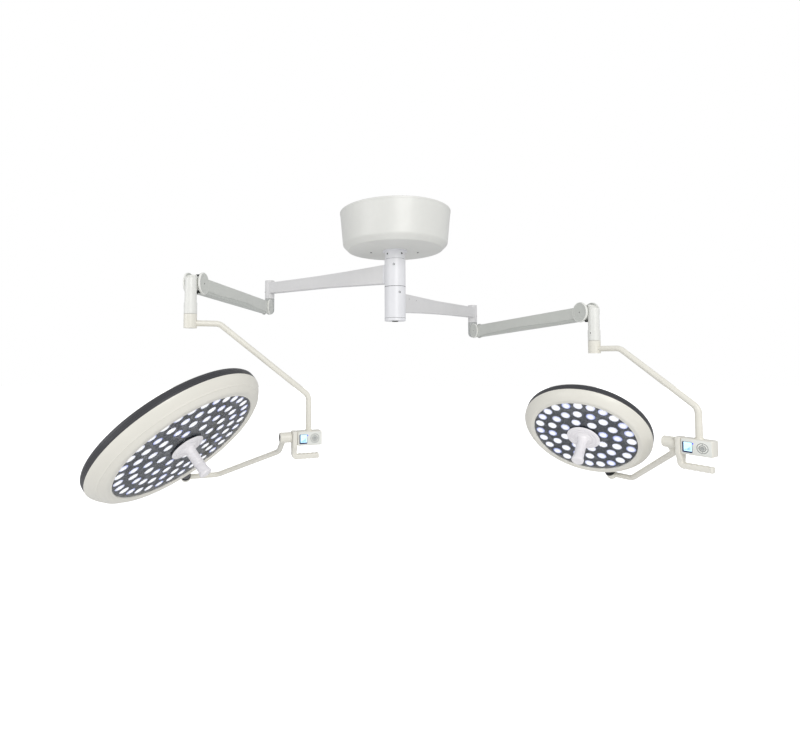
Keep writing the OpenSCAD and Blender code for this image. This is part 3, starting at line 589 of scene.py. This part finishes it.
def pipe_path(points, bend, steps=14):
    """Points and directions along a polyline in a frame's x-z plane with round bends."""
    points = [Vector(p) for p in points]
    path = [(points[0], (points[1] - points[0]).normalized())]
    for a, b, c in zip(points, points[1:], points[2:]):
        come, go = (b - a).normalized(), (c - b).normalized()
        angle = come.angle(go)
        normal = come.cross(go).normalized()
        start = b - come * bend * math.tan(angle / 2)
        centre = start + normal.cross(come) * bend
        for k in range(steps + 1):
            turn = Matrix.Rotation(angle * k / steps, 3, normal)
            path.append((centre + turn @ (start - centre), turn @ come))
    path.append((points[-1], (points[-1] - points[-2]).normalized()))
    return path


def add_pipe(builder, points, radius, bend, place, sides=40):
    rings = []
    for point, direction in pipe_path(points, bend):
        across = Y.cross(direction).normalized()
        rings.append([place @ (point + spot.x * across + spot.y * Y) for spot in circle(radius, 0, sides)])
    builder.loft(rings)


def along(place, origin, axis, spin=X):
    """Frame at a point of another frame, with z along an axis."""
    axis = Vector(axis).normalized()
    guide = Vector(spin) if abs(Vector(spin).dot(axis)) < 0.9 else Y
    x_axis = (guide - axis * guide.dot(axis)).normalized()
    return place @ frame_from(Vector(origin), x_axis, axis)


def add_socket_screw(builder, place, radius, depth, hex_share=0.55):
    """Socket screw whose head faces +z and ends at z = 0, with a hexagon recess."""
    steps = 24
    corners = circle(hex_share * radius, 0, 6)

    def recess(z):
        """Points of the hexagon, four on each side, in step with the circles."""
        sides = [(corners[k // 4], corners[(k // 4 + 1) % 6], (k % 4) / 4) for k in range(steps)]
        return [a.lerp(b, share) + Z * z for a, b, share in sides]

    rings = [circle(radius, -depth, steps), circle(radius, -0.1 * radius, steps),
             circle(0.92 * radius, 0, steps), recess(0), recess(-0.6 * radius)]
    builder.loft([[place @ point for point in ring] for ring in rings])


# ---- Ceiling and column ----


def canopy():
    """Sheet canopy with a rolled lip, a soft shoulder and a flat underside."""
    low, high = extent("canopy_cover", AT_ORIGIN)
    top_r, foot = high.x, low.z
    shoulder_r, shoulder_z = 257, -159
    face_r, bore_r, wall = 231, 45.2, 3
    side_angle = math.degrees(math.atan2(-shoulder_z, top_r - shoulder_r))
    slope = math.degrees(math.atan2(shoulder_z - foot, shoulder_r - face_r))
    turn_r, edge_r = 18, 9
    turn = arc((shoulder_r - turn_r, shoulder_z + 6), turn_r, side_angle - 90, slope - 90, 8)
    foot_turn = arc((face_r - 3, foot + edge_r), edge_r, slope - 90, -90, 6)
    lip = [(top_r - 2, 0), (top_r, -1.5), (top_r - 0.6, -9), (top_r - 1.6, -10)]
    outside = lip + turn + foot_turn + [(bore_r + 1, foot), (bore_r, foot + 1)]
    inside = [(bore_r, foot + wall), (face_r - 4, foot + wall), (shoulder_r - 2 * wall, shoulder_z + wall),
              (top_r - 2 * wall, 0)]
    shape = Builder("canopy_shell")
    shape.lathe(outside + inside, AT_ORIGIN, 160)
    shape.add("column", "canopy_paint", ["canopy"], ["canopy_cover"])


def collar():
    soften("column_collar", ["spindle_collar"], "column", "column", 1.2)
    low, high = extent("spindle_collar", AT_ORIGIN)
    shape = Builder("collar_screws")
    for k in range(4):
        direction = heading(37 + 90 * k)
        spot = direction * 50.2 + Z * (high.z - 20)
        add_socket_screw(shape, along(AT_ORIGIN, spot, direction, Z), 4.6, 3, 0.8)
    shape.add("column", "dark_steel", ["black"])
    ring = Builder("collar_seal")
    ring.lathe(block(40, 49.5, low.z - 1.3, low.z), AT_ORIGIN)
    ring.add("column", "black_plastic", ["cup"])


def hubs():
    # Angle round the hub, measured from the arm, of each set screw
    screw_angles = {"large": (116, -64), "small": (-121, 59)}
    for lamp in LAMPS:
        place = FRAMES[lamp]["arm"]
        soften(f"{lamp}_hub_cover", [f"{lamp}_hub"], f"{lamp}_arm", "column", 2)
        low, high = extent(f"{lamp}_hub", place)
        radius = -low.x
        shape = Builder(f"{lamp}_hub_screws")
        for angle in screw_angles[lamp]:
            direction = heading(angle)
            spot = direction * (radius + 0.4) + Z * (high.z - 30)
            add_socket_screw(shape, along(place, spot, direction, Z), 5.2, 3, 0.7)
        shape.add(f"{lamp}_arm", "dark_steel", ["black"])
        seal = Builder(f"{lamp}_hub_seal")
        groove = low.z + 14 if lamp == "small" else low.z
        seal.lathe(block(radius - 6, radius + 0.15, groove - 0.6, groove + 0.6), place)
        seal.add(f"{lamp}_arm", "black_plastic", ["band"])


# ---- Extension arms ----


def extension_arms():
    # Angle round the elbow barrel, measured from the arm, of each set screw
    elbow_screw_angles = {"large": (55, -125), "small": (-66, 114)}
    for lamp in LAMPS:
        body = f"{lamp}_arm"
        place = FRAMES[lamp]["arm"]
        node = f"{lamp}_extension_arm"
        soften(f"{lamp}_beam", [node], body, "arm", 1.8)
        elbow = place.inverted() @ FRAMES[lamp]["elbow"].translation
        barrel_r, barrel_h = 28, 111
        screws = Builder(f"{lamp}_root_screws")
        for x, z in ((95, 7), (163, 6)):
            spot = (x, -23.4, elbow.z - 46 + z)
            add_socket_screw(screws, along(place, spot, (0, -1, 0), X), 3, 2.4)
        screws.add(body, "dark_steel", ["bright_screw"])
        trim = Builder(f"{lamp}_elbow_trim")
        for angle in elbow_screw_angles[lamp]:
            direction = heading(angle)
            spot = elbow + direction * (barrel_r + 0.4) - Z * 70
            add_socket_screw(trim, along(place, spot, direction, Z), 4.6, 3, 0.75)
        seat = place @ Matrix.Translation((elbow.x, elbow.y, elbow.z - barrel_h))
        trim.lathe(block(barrel_r - 8, barrel_r - 0.4, -0.8, 1), seat, 64)
        trim.add(body, "dark_steel", ["black"])
        cap = Builder(f"{lamp}_elbow_cap")
        seat = place @ Matrix.Translation(elbow)
        cap_r = barrel_r - 3.4
        cap.lathe([(0, -2), (cap_r, -2), (cap_r, -0.2), (cap_r - 1.2, 0.6), (0, 0.6)], seat, 64)
        cap.add(body, "arm_paint", ["disc"])


# ---- Spring arms ----


def cover_profile(radius, thick):
    """Cover disc: a face with a shallow dish, a stepped edge and a bright rim."""
    step = 2.2
    return [
        (0, 0), (radius - 1.5, 0), (radius, 1.2), (radius, thick - 2.4),
        (radius - 0.9, thick - 0.8), (radius - step, thick - 0.2), (radius - step - 1, thick),
        (radius - step - 2.2, thick - 0.5), (radius * 0.55, thick - 0.1), (6.2, thick),
        (5.4, thick - 0.7), (0, thick - 0.7)]


def spring_arms():
    for lamp in LAMPS:
        body = f"{lamp}_spring_arm"
        place = FRAMES[lamp]["spring"]
        soften(f"{lamp}_shell", [f"{lamp}_arm_shell"], body, "shell", 2.2)
        soften(f"{lamp}_belly", [f"{lamp}_arm_belly"], body, "belly", 1.2)
        pins = f"{lamp}_pivot_pins"
        low, high = extent(pins, place)
        pivot_gap = (place.inverted() @ FRAMES[lamp]["front"].translation).x
        rear_r, front_r = -low.x, high.x - pivot_gap
        rear_half = 24
        shape = Builder(f"{lamp}_pivot_covers")
        screws = Builder(f"{lamp}_cover_screws")
        for x, radius, half in ((0, rear_r, rear_half), (pivot_gap, front_r, high.y)):
            for side in (-1, 1):
                seat = along(place, (x, side * (half - 8), 0), (0, side, 0))
                shape.lathe(cover_profile(radius, 8), seat, 96, [0, 1, 1, 1, 1, 1, 0, 0, 0, 0, 0, 0])
                add_socket_screw(screws, along(place, (x, side * (half - 0.3), 0), (0, side, 0)),
                                 2.6, 2)
        for x, half in ((0, rear_half), (pivot_gap, high.y)):
            shape.lathe(block(0, 7, 3 - half, half - 3), along(place, (x, 0, 0), (0, 1, 0)), 40)
        shape.add(body, "cover_paint", ["disc", "disc_rim"], [pins])
        screws.add(body, "dark_steel", ["screw"])
        pads = Builder(f"{lamp}_stop_pads")
        for angle in (114, -86):
            direction = Matrix.Rotation(math.radians(-angle), 3, "Y") @ X
            seat = along(place, Vector((pivot_gap, 0, 0)) + direction * 33, direction, Y)
            pads.prism(rounded_box(-8, 8, -3, 3, 1.5), seat, 2, 9)
        pads.add(body, "black_plastic", ["black"])
        soften(f"{lamp}_rear_pivot", [f"{lamp}_rear_knuckle"], f"{lamp}_elbow",
               "knuckle", 1.6)


# ---- Posts and yokes ----

# Height of the yoke tube's second bend over the front pivot
YOKE_BEND_Z = {"large": -444, "small": -373}


def posts():
    for lamp in LAMPS:
        node = f"{lamp}_front_knuckle"
        soften(f"{lamp}_post", [node], f"{lamp}_post", "post", 1.2)
        place = FRAMES[lamp]["front"]
        middle = place.inverted() @ FRAMES[lamp]["yoke"].translation
        sleeve_r, screw_drop = 24.2, 92
        shape = Builder(f"{lamp}_post_screws")
        for angle in (-75, 165):
            spot = middle + heading(angle) * (sleeve_r + 0.2) - Z * screw_drop
            add_socket_screw(shape, along(place, spot, heading(angle), Z), 2.6, 2.4)
        shape.add(f"{lamp}_post", "dark_steel", ["screw"])


def yokes():
    for lamp in LAMPS:
        body = f"{lamp}_yoke"
        place = FRAMES[lamp]["yoke"]
        box_place = FRAMES[lamp]["box"]
        soften(f"{lamp}_socket", [f"{lamp}_yoke_socket"], body, "cream", 2)
        node = f"{lamp}_yoke_tube"
        low, high = extent(node, place)
        radius = 0.5 * (high.y - low.y)
        reach, drop = high.x - radius, high.z - radius
        path = [(low.x, 0, drop), (107, 0, drop), (reach, 0, YOKE_BEND_Z[lamp]), (reach, 0, low.z)]
        shape = Builder(f"{lamp}_yoke_pipe")
        add_pipe(shape, path, radius, 40, place)
        shape.add(body, "cream_paint", ["cream"], [node])
        collar_piece = Builder(f"{lamp}_pipe_collars")
        foot = along(box_place, (0, 0, 0), Z)
        foot_z = extent(f"{lamp}_control_box", box_place)[1].z
        collar_piece.lathe([(radius - 1, foot_z - 0.5), (radius + 3, foot_z - 0.5),
                            (radius + 3, foot_z + 2), (radius + 1.6, foot_z + 4),
                            (radius - 1, foot_z + 4)], foot, 48)
        collar_piece.add(body, "cream_paint", ["cream"])


# ---- Control boxes ----


def control_boxes():
    for lamp in LAMPS:
        body = f"{lamp}_yoke"
        place = FRAMES[lamp]["box"]
        panel_low, panel_high = extent(f"{lamp}_box_panel", place)
        low, high = extent(f"{lamp}_control_box", place)
        x0, x1 = panel_low.x - 3, panel_high.x + 3
        z0, z1 = panel_low.z - 3, panel_high.z + 3
        front, back = low.y, high.y
        face = along(place, (0, 0, 0), (0, -1, 0), X)
        housing = Builder(f"{lamp}_box_housing")
        corner = 5
        inset = 1.6
        rings = []
        for depth, pull in ((-front - 0.8, inset), (-front - 2.2, 0.3), (-front - 4, 0),
                            (-back + 4, 0), (-back + 1.4, 0.9), (-back, 2.6)):
            outline = rounded_box(x0 + pull, x1 - pull, z0 + pull, z1 - pull, corner - pull * 0.5)
            rings.append([face @ Vector((x, z, depth)) for x, z in outline])
        housing.loft(rings)
        pin_r = 9
        housing.lathe(block(0, pin_r, low.x, x0 + 1), along(place, (0, 0, 0), X, Z), 48)
        housing.add(body, "cream_plastic", ["cream_plastic"], [f"{lamp}_control_box"])
        film = Builder(f"{lamp}_panel_film")
        edge = 2.6
        sheets = []
        for depth, pull in ((-front - 1.2, edge), (-front - 0.35, edge), (-front, edge + 0.4)):
            outline = rounded_box(x0 + pull, x1 - pull, z0 + pull, z1 - pull, corner - 2)
            sheets.append([face @ Vector((x, z, depth)) for x, z in outline])
        film.loft(sheets)
        film.add(body, "panel_plastic", ["panel"], [f"{lamp}_box_panel"])
        screen_and_keys(lamp, body, face, front)
        side_handle(lamp, body, place, x0, front, back, z0, z1)


def screen_and_keys(lamp, body, face, front):
    """Display with its navy frame, blue lamp, level bars and the round keypad."""
    place = FRAMES[lamp]["box"]
    low, high = extent(f"{lamp}_display", place)
    surface = -front
    lip = 1.3
    wide = 4.6
    sill = 5.4
    border = Builder(f"{lamp}_screen_frame")
    outer = rounded_box(low.x, high.x, low.z, high.z, 3.2)
    inner = rounded_box(low.x + wide, high.x - lip, low.z + sill, high.z - lip, 1.6)
    proud = 0.15
    section = ((outer, -1), (outer, proud), (inner, proud), (inner, -1))
    border.loft([[face @ Vector((x, z, surface + rise)) for x, z in ring] for ring, rise in section],
                closed=True)
    border.add(body, "panel_plastic", ["navy"])
    glass = Builder(f"{lamp}_screen_glass")
    glass.prism(inner, face, surface - 2, surface + 0.06)
    for k in range(5):
        x = low.x + 6 + 4.3 * k
        glass.prism(rounded_box(x, x + 2.4, low.z + 8, low.z + (10 + 2.6 * k), 0.4), face,
                    surface, surface + 0.1, 1)
    glass.add(body, "display_face", ["screen", "bars"], [f"{lamp}_display"])
    dot = Builder(f"{lamp}_status_dot")
    dot.lathe(block(0, 2.3, -1, 0.2), face @ Matrix.Translation((high.x + 1.2, high.z - 5, surface)), 24)
    dot.add(body, "display_face", ["dot"])
    key_low, key_high = extent(f"{lamp}_power_button", place)
    centre = 0.5 * (key_low + key_high)
    key_r = 0.5 * (key_high.x - key_low.x)
    pad = face @ Matrix.Translation((centre.x, centre.z, surface))
    keys = Builder(f"{lamp}_key_rings")
    for r0, r1 in ((9.2, 11), (16.2, 17.8)):
        keys.lathe(block(r0, r1, -0.6, proud), pad, 72)
    for k in range(4):
        spin = pad @ Matrix.Rotation(math.tau * k / 4, 4, "Z")
        arrow = [(12.4, -1.8), (14.8, 0), (12.4, 1.8)]
        keys.prism(arrow, spin, -0.6, proud)
    keys.add(body, "panel_plastic", ["key_ring"])
    key_top = -key_low.y - surface
    button = Builder(f"{lamp}_power_key")
    button.lathe([(0, -8), (3, -8), (3, -4), (key_r, -4), (key_r, key_top - 0.7), (key_r - 0.8, key_top),
                  (key_r * 0.6, key_top - 0.3), (key_r * 0.5, key_top - 0.8), (0, key_top - 0.8)], pad, 48)
    button.add(f"{lamp}_button", "button_plastic", ["key"], [f"{lamp}_power_button"])


def side_handle(lamp, body, place, x0, front, back, z0, z1):
    """Moulded handle: a leg that narrows downwards and a grip bar with finger grooves."""
    low, high = extent(f"{lamp}_side_handle", place)
    leg_w = x0 - low.x
    grip_half_d = 14
    grip_h = 23
    turn_r = 8
    leg_x = 0.5 * (low.x + x0)
    grip_z = low.z + 0.5 * grip_h
    stations = []
    steps = 12
    leg_end = grip_z + turn_r + leg_w / 2 - 6
    for k in range(steps + 1):
        share = k / steps
        z = z1 - (z1 - leg_end) * share
        below = max(0, min(1, (z0 - z) / (z0 - leg_end)))
        ease = below * below * (3 - 2 * below)
        y0 = front + (-grip_half_d - front) * ease
        y1 = back + (grip_half_d - back) * ease
        stations.append((Vector((leg_x, 0.5 * (y0 + y1), z)), -Z, leg_w / 2, 0.5 * (y1 - y0)))
    centre = Vector((leg_x + (leg_end - grip_z), 0, leg_end))
    sweep_r = leg_end - grip_z
    for k in range(1, 9):
        angle = math.radians(90 * k / 8)
        point = centre + Vector((-sweep_r * math.cos(angle), 0, -sweep_r * math.sin(angle)))
        half = leg_w / 2 + (grip_h / 2 - leg_w / 2) * k / 8
        stations.append((point, Vector((math.sin(angle), 0, -math.cos(angle))), half, grip_half_d))
    grooves = 4
    bump_h = 4.4
    grip_start, grip_end = centre.x + 4, high.x - 4
    count = 48
    for k in range(count + 1):
        share = k / count
        x = grip_start + (grip_end - grip_start) * share
        bump = bump_h * abs(math.sin(math.pi * (grooves + 0.5) * share)) ** 0.8
        half = 0.5 * (grip_h - bump_h + bump)
        stations.append((Vector((x, 0, low.z + 0.5 * grip_h)), X.copy(), half, grip_half_d))
    for k in range(1, 6):
        angle = math.radians(85 * k / 5)
        shrink = 1 - 0.35 * (1 - math.cos(angle)) / (1 - math.cos(math.radians(85)))
        half = 0.5 * grip_h * shrink
        stations.append((Vector((grip_end + 4 * math.sin(angle), 0, low.z + grip_h / 2)), X.copy(), half,
                         grip_half_d * shrink))
    sides = 32
    rings = []
    for point, direction, half_w, half_d in stations:
        across = Y.cross(direction).normalized()
        ring = []
        for k in range(sides):
            angle = math.tau * (k + 0.5) / sides
            c, s = math.cos(angle), math.sin(angle)
            u = half_w * math.copysign(abs(c) ** 0.42, c)
            v = half_d * math.copysign(abs(s) ** 0.42, s)
            ring.append(place @ (point + across * u + Y * v))
        rings.append(ring)
    shape = Builder(f"{lamp}_grip")
    shape.loft(rings)
    shape.add(body, "cream_plastic", ["cream_plastic"], [f"{lamp}_side_handle"])


# ---- Lower bows ----


def bows():
    for lamp in LAMPS:
        body = f"{lamp}_bow"
        place = FRAMES[lamp]["bow"]
        barrel = f"{lamp}_tilt_barrel"
        low, high = extent(barrel, place)
        radius = high.z
        axis = along(place, (0, 0, 0), X, Z)
        shape = Builder(f"{lamp}_barrel")
        shape.lathe([(0, low.x + 1), (radius * 0.72, low.x + 1), (radius * 0.76, low.x),
                     (radius - 2, low.x), (radius, low.x + 2), (radius, high.x - 6),
                     (radius - 0.8, high.x - 5.4), (radius - 0.8, high.x - 4.6),
                     (radius, high.x - 4), (radius, high.x - 1.2), (radius - 1.2, high.x),
                     (10, high.x), (10, low.x + 6), (0, low.x + 6)], axis, 72)
        shape.add(body, "cream_paint", ["cream"], [barrel])
        plug = Builder(f"{lamp}_barrel_plug")
        plug.lathe([(0, low.x + 0.4), (radius * 0.62, low.x + 0.4), (radius * 0.7, low.x + 1.2),
                    (radius * 0.7, low.x + 3), (0, low.x + 3)], axis, 48)
        plug.add(body, "black_plastic", ["black"])
        bow_pipe(lamp, body, place)


# Bends of the bow's centre line (x, z); the second one is at the rim joint's height
BOW_BENDS = {"large": ((362, -146), (122, -380)), "small": ((279, -58), (42, -280))}


def bow_pipe(lamp, body, place):
    """Bent tube with the rim joint's knuckle and pin."""
    node = f"{lamp}_lower_bow"
    (top_x, first_z), (second_x, end_z) = BOW_BENDS[lamp]
    hinge_x = (place.inverted() @ Vector(JOINTS[f"{lamp}_head_turn"]["pos_m"])).x
    path = [(top_x, 0, -11), (top_x, 0, first_z), (second_x, 0, end_z), (hinge_x + 12, 0, end_z)]
    shape = Builder(f"{lamp}_bow_pipe")
    add_pipe(shape, path, 11.5, 40, place)
    hinge = place @ Matrix.Translation((hinge_x, 0, end_z - 17))
    knuckle_r = 20
    pin_r, pin_top = 8, 75
    shape.lathe([(0, 0), (knuckle_r - 7, 0), (knuckle_r - 3, 1.2), (knuckle_r - 0.8, 3.4), (knuckle_r, 6),
                 (knuckle_r, 37.4), (knuckle_r - 1.4, 39), (pin_r, 39), (pin_r, pin_top), (0, pin_top)],
                hinge, 72)
    shape.add(body, "cream_paint", ["cream"], [node])
    seal = Builder(f"{lamp}_rim_joint_seal")
    seal_r = knuckle_r + 0.4
    seal.lathe([(knuckle_r - 4, 27), (seal_r, 27), (seal_r, 38.6), (seal_r - 0.8, 39.3),
                (knuckle_r - 4, 39.3)], hinge, 72)
    seal.add(body, "black_plastic", ["black"])


# ---- Lamp heads ----


# Radii of the rings of lenses
LENS_RINGS = {"large": (98, 150, 203, 255), "small": (79, 128, 178)}


def head_sizes(lamp):
    place = FRAMES[lamp]["head"]
    band_high = extent(f"{lamp}_rim_band", place)[1]
    bezel_low, bezel_high = extent(f"{lamp}_bezel", place)
    glass_low, glass_high = extent(f"{lamp}_front_glass", place)
    back_high = extent(f"{lamp}_head_back", place)[1]
    return {
        "place": place, "radius": band_high.x, "side": band_high.y, "front": bezel_low.z,
        "split": bezel_high.z, "rim": band_high.z, "opening": glass_high.x, "face": glass_low.z,
        "crown": back_high.z, "glass": glass_high.z - glass_low.z,
    }


def bezel_profile(size):
    """Outline of the bezel: a rounded side, a crease, a flat front ring and an inner lip."""
    radius, front, split, opening = size["radius"], size["front"], size["split"], size["opening"]
    side = []
    last = math.radians(64)
    front_inset = 0.135 * radius
    for k in range(25):
        angle = last * k / 24
        inset = front_inset * ((1 - math.cos(angle)) / (1 - math.cos(last))) ** 0.75
        side.append((radius - inset, split - (split - front) * (math.sin(angle) / math.sin(last)) ** 1.15))
    side[0:1] = [(radius - 1.2, split), (radius - 0.3, split - 0.9)]
    lip = [(opening + 9, front), (opening + 7.6, front + 0.9), (opening + 6, front + 0.9)]
    lip += arc((opening + 3, front + 3), 3, 270, 180, 5)
    inside = [(opening, size["face"] + 12), (opening + 4, size["face"] + 12), (opening + 8, front + 4),
              (0.865 * radius, front + 4), (0.93 * radius, front + 14), (radius - 5, split)]
    return side + lip + inside


def heads():
    for lamp in LAMPS:
        body = f"{lamp}_head"
        size = head_sizes(lamp)
        place = size["place"]
        radius, rim = size["radius"], size["rim"]

        bezel = Builder(f"{lamp}_front_bezel")
        bezel.lathe(bezel_profile(size), place, 192)
        bezel.add(body, "cream_plastic", ["cream_plastic"], [f"{lamp}_bezel"])

        rim_band(lamp, body, size)

        back = Builder(f"{lamp}_back_cover")
        edge = radius - 12
        crown = size["crown"] - rim
        dome = []
        for k in range(25):
            angle = math.pi / 2 * k / 24
            height = rim + crown * math.cos(angle) ** 0.8
            ripple = -1.2 if 9 <= k <= 10 else 0
            dome.append((edge * math.sin(angle), height + ripple))
        dome[0] = (0, dome[0][1])
        under = [(edge, rim - 3), (edge - 4, rim - 3), (edge - 6, rim - 1),
                 (edge * 0.5, rim + crown * 0.5), (0, rim + crown - 4)]
        back.lathe(dome + under, place, 160, closed=False)
        back.add(body, "cream_plastic", ["cream_plastic"], [f"{lamp}_head_back"])

        lens_pieces(lamp, body, size)

        cover = Builder(f"{lamp}_clear_cover")
        hole = 34
        face, thick, opening = size["face"], size["glass"], size["opening"]
        cover.lathe([(hole, face), (opening - 0.8, face), (opening, face + 0.8),
                     (opening, face + thick), (hole, face + thick)], place, 160)
        cover.add(body, "clear_cover", ["clear"], [f"{lamp}_front_glass"])

        sterile_handle(lamp, size)


def rim_band(lamp, body, size):
    place, radius, split, rim = size["place"], size["radius"], size["split"], size["rim"]
    height = rim - split
    band = Builder(f"{lamp}_rim_ring")
    groove = 0.9
    outside = [(radius - 2.4, split + 0.2), (radius - 0.6, split + 0.9), (radius, split + 2.4)]
    for share in (0.30, 0.52):
        z = split + height * share
        outside += [(radius, z - 1.1), (radius - groove, z - 0.5), (radius - groove, z + 0.5),
                    (radius, z + 1.1)]
    outside += [(radius - 0.4, rim - 5.4), (radius - 3, rim - 1.6), (radius - 6, rim - 0.4),
                (radius - 12, rim), (radius - 12, rim - 3), (radius - 26, rim - 3),
                (radius - 26, split)]
    band.lathe(outside, place, 192)
    hinge = Vector(JOINTS[f"{lamp}_head_turn"]["pos_m"])
    local = place.inverted() @ hinge
    seat = along(place, (0, 0, local.z), (0, 1, 0), Z)
    outer, socket_r, bore = size["side"], 20, 8.1
    band.lathe([(bore, outer - 44), (socket_r, outer - 44), (socket_r, outer - 4.2),
                (socket_r - 0.9, outer - 3.4), (socket_r - 0.9, outer - 2.8),
                (socket_r, outer - 2), (socket_r, outer - 1), (socket_r - 1, outer), (bore, outer)],
               seat, 72)
    block_top = split + 4
    band.prism(rounded_box(-socket_r, socket_r, local.z, block_top, 2),
               along(place, (0, 0, 0), (0, -1, 0), X), -(outer - 14), -(outer - 30))
    band.add(body, "band_plastic", ["band"], [f"{lamp}_rim_band"])


def lens_places(lamp):
    """Middle of each lens in the head's plane: rings of 8, 16, 24 ... lenses, every second one turned."""
    for ring, pitch_r in enumerate(LENS_RINGS[lamp]):
        count = 8 * (ring + 1)
        for k in range(count):
            angle = (k + 0.5 * (ring % 2)) * math.tau / count
            yield Vector((pitch_r * math.cos(angle), pitch_r * math.sin(angle), 0))


def lens_pieces(lamp, body, size):
    """Lit lenses, each in its dark cup; the attributes tell the shader the edge and the tint."""
    low, high = extent(f"{lamp}_lenses", size["place"])
    lens_r, cup_depth = 20, 8
    glow_r = 0.87 * lens_r
    sides, rings = 28, 5
    shares = [k / rings for k in range(1, rings + 1)]
    bulge = [(0, 0)] + [(glow_r * share, 2.6 * share ** 2.4) for share in shares] + [(0, high.z - low.z)]
    cup = [(0.9 * lens_r, 1.6), (0.97 * lens_r, 0.6), (lens_r, 1.4), (lens_r, 3), (0.74 * lens_r, cup_depth),
           (0.7 * lens_r, cup_depth), (0.9 * lens_r, 3.4)]
    edge = [0.0] + [share for share in shares for _ in range(sides)] + [1.0]
    phase = {"large": 0, "small": 1.3}[lamp]
    lenses = Builder(f"{lamp}_lens_set")
    cups = Builder(f"{lamp}_lens_cups")
    edges, tints = [], []
    for index, middle in enumerate(lens_places(lamp)):
        seat = size["place"] @ Matrix.Translation(middle + Z * low.z)
        lenses.lathe(bulge, seat, sides, closed=False)
        cups.lathe(cup, seat, sides)
        edges += edge
        tints += [0.25 + 0.75 * (0.5 + 0.5 * math.sin(index * 2.4 + phase)) ** 2] * len(edge)
    mesh = lenses.mesh()
    for name, values in (("edge", edges), ("tint", tints)):
        mesh.attributes.new(name, "FLOAT", "POINT").data.foreach_set("value", values)
    add_piece(lenses.name, mesh, body, ["lens"], [f"{lamp}_lenses"], 60)
    cups.add(body, "board_metal", ["cup"])


def sterile_handle(lamp, size):
    """Removable handle: guard disc with two ring marks and a slightly flared grip."""
    place = size["place"]
    low, high = extent(f"{lamp}_sterile_handle", place)
    disc_r, top, end = high.x, high.z, low.z
    grip_r = 20
    rise = top - 2.4
    profile = [(10.2, rise), (disc_r - 14, rise), (disc_r - 1.6, top - 0.2), (disc_r, top - 1),
               (disc_r - 0.4, top - 2.6), (disc_r - 5, top - 4.6)]
    for share in (0.78, 0.56):
        ring = disc_r * share
        z = top - 5.2 - (1 - share) * 3
        profile += [(ring + 1.8, z), (ring + 1.2, z + 2), (ring - 1.2, z + 2),
                    (ring - 1.8, z - 0.2)]
    profile += [(grip_r + 8, top - 8.4), (grip_r + 3, top - 10.4), (grip_r, top - 15),
                (grip_r - 0.4, top - 22)]
    for k in range(6):
        z = top - 36 - k * 9.5
        profile += [(grip_r - 0.8, z + 2), (grip_r - 1.4, z + 1), (grip_r - 1.4, z),
                    (grip_r - 0.8, z - 1)]
    profile += [(grip_r - 0.9, end + 26), (grip_r + 1, end + 16), (grip_r + 2.8, end + 10),
                (grip_r + 3, end + 5), (grip_r + 2, end + 1.4), (grip_r - 0.5, end),
                (grip_r - 5, end), (grip_r - 6, end + 1.2), (0, end + 1.2), (0, end + 8),
                (10.2, end + 8)]
    shape = Builder(f"{lamp}_sterile_grip")
    shape.lathe(profile, place, 96)
    shape.add(f"{lamp}_handle", "handle_plastic", ["handle"],
              [f"{lamp}_sterile_handle"])


# ---- The CAD nodes that stay ----


def dress_kept_nodes():
    for name, node in NODES.items():
        short = name.split("_", 1)[1] if name.startswith(LAMPS) else name
        if short not in KEPT_NODES:
            continue
        finish = MATERIALS[KEPT_NODES[short]]
        if not node.material_slots:
            node.data.materials.append(finish)
        for slot in node.material_slots:
            slot.material = finish


add_camera()
add_studio()
dress_kept_nodes()
canopy()
collar()
hubs()
extension_arms()
spring_arms()
posts()
yokes()
control_boxes()
bows()
heads()
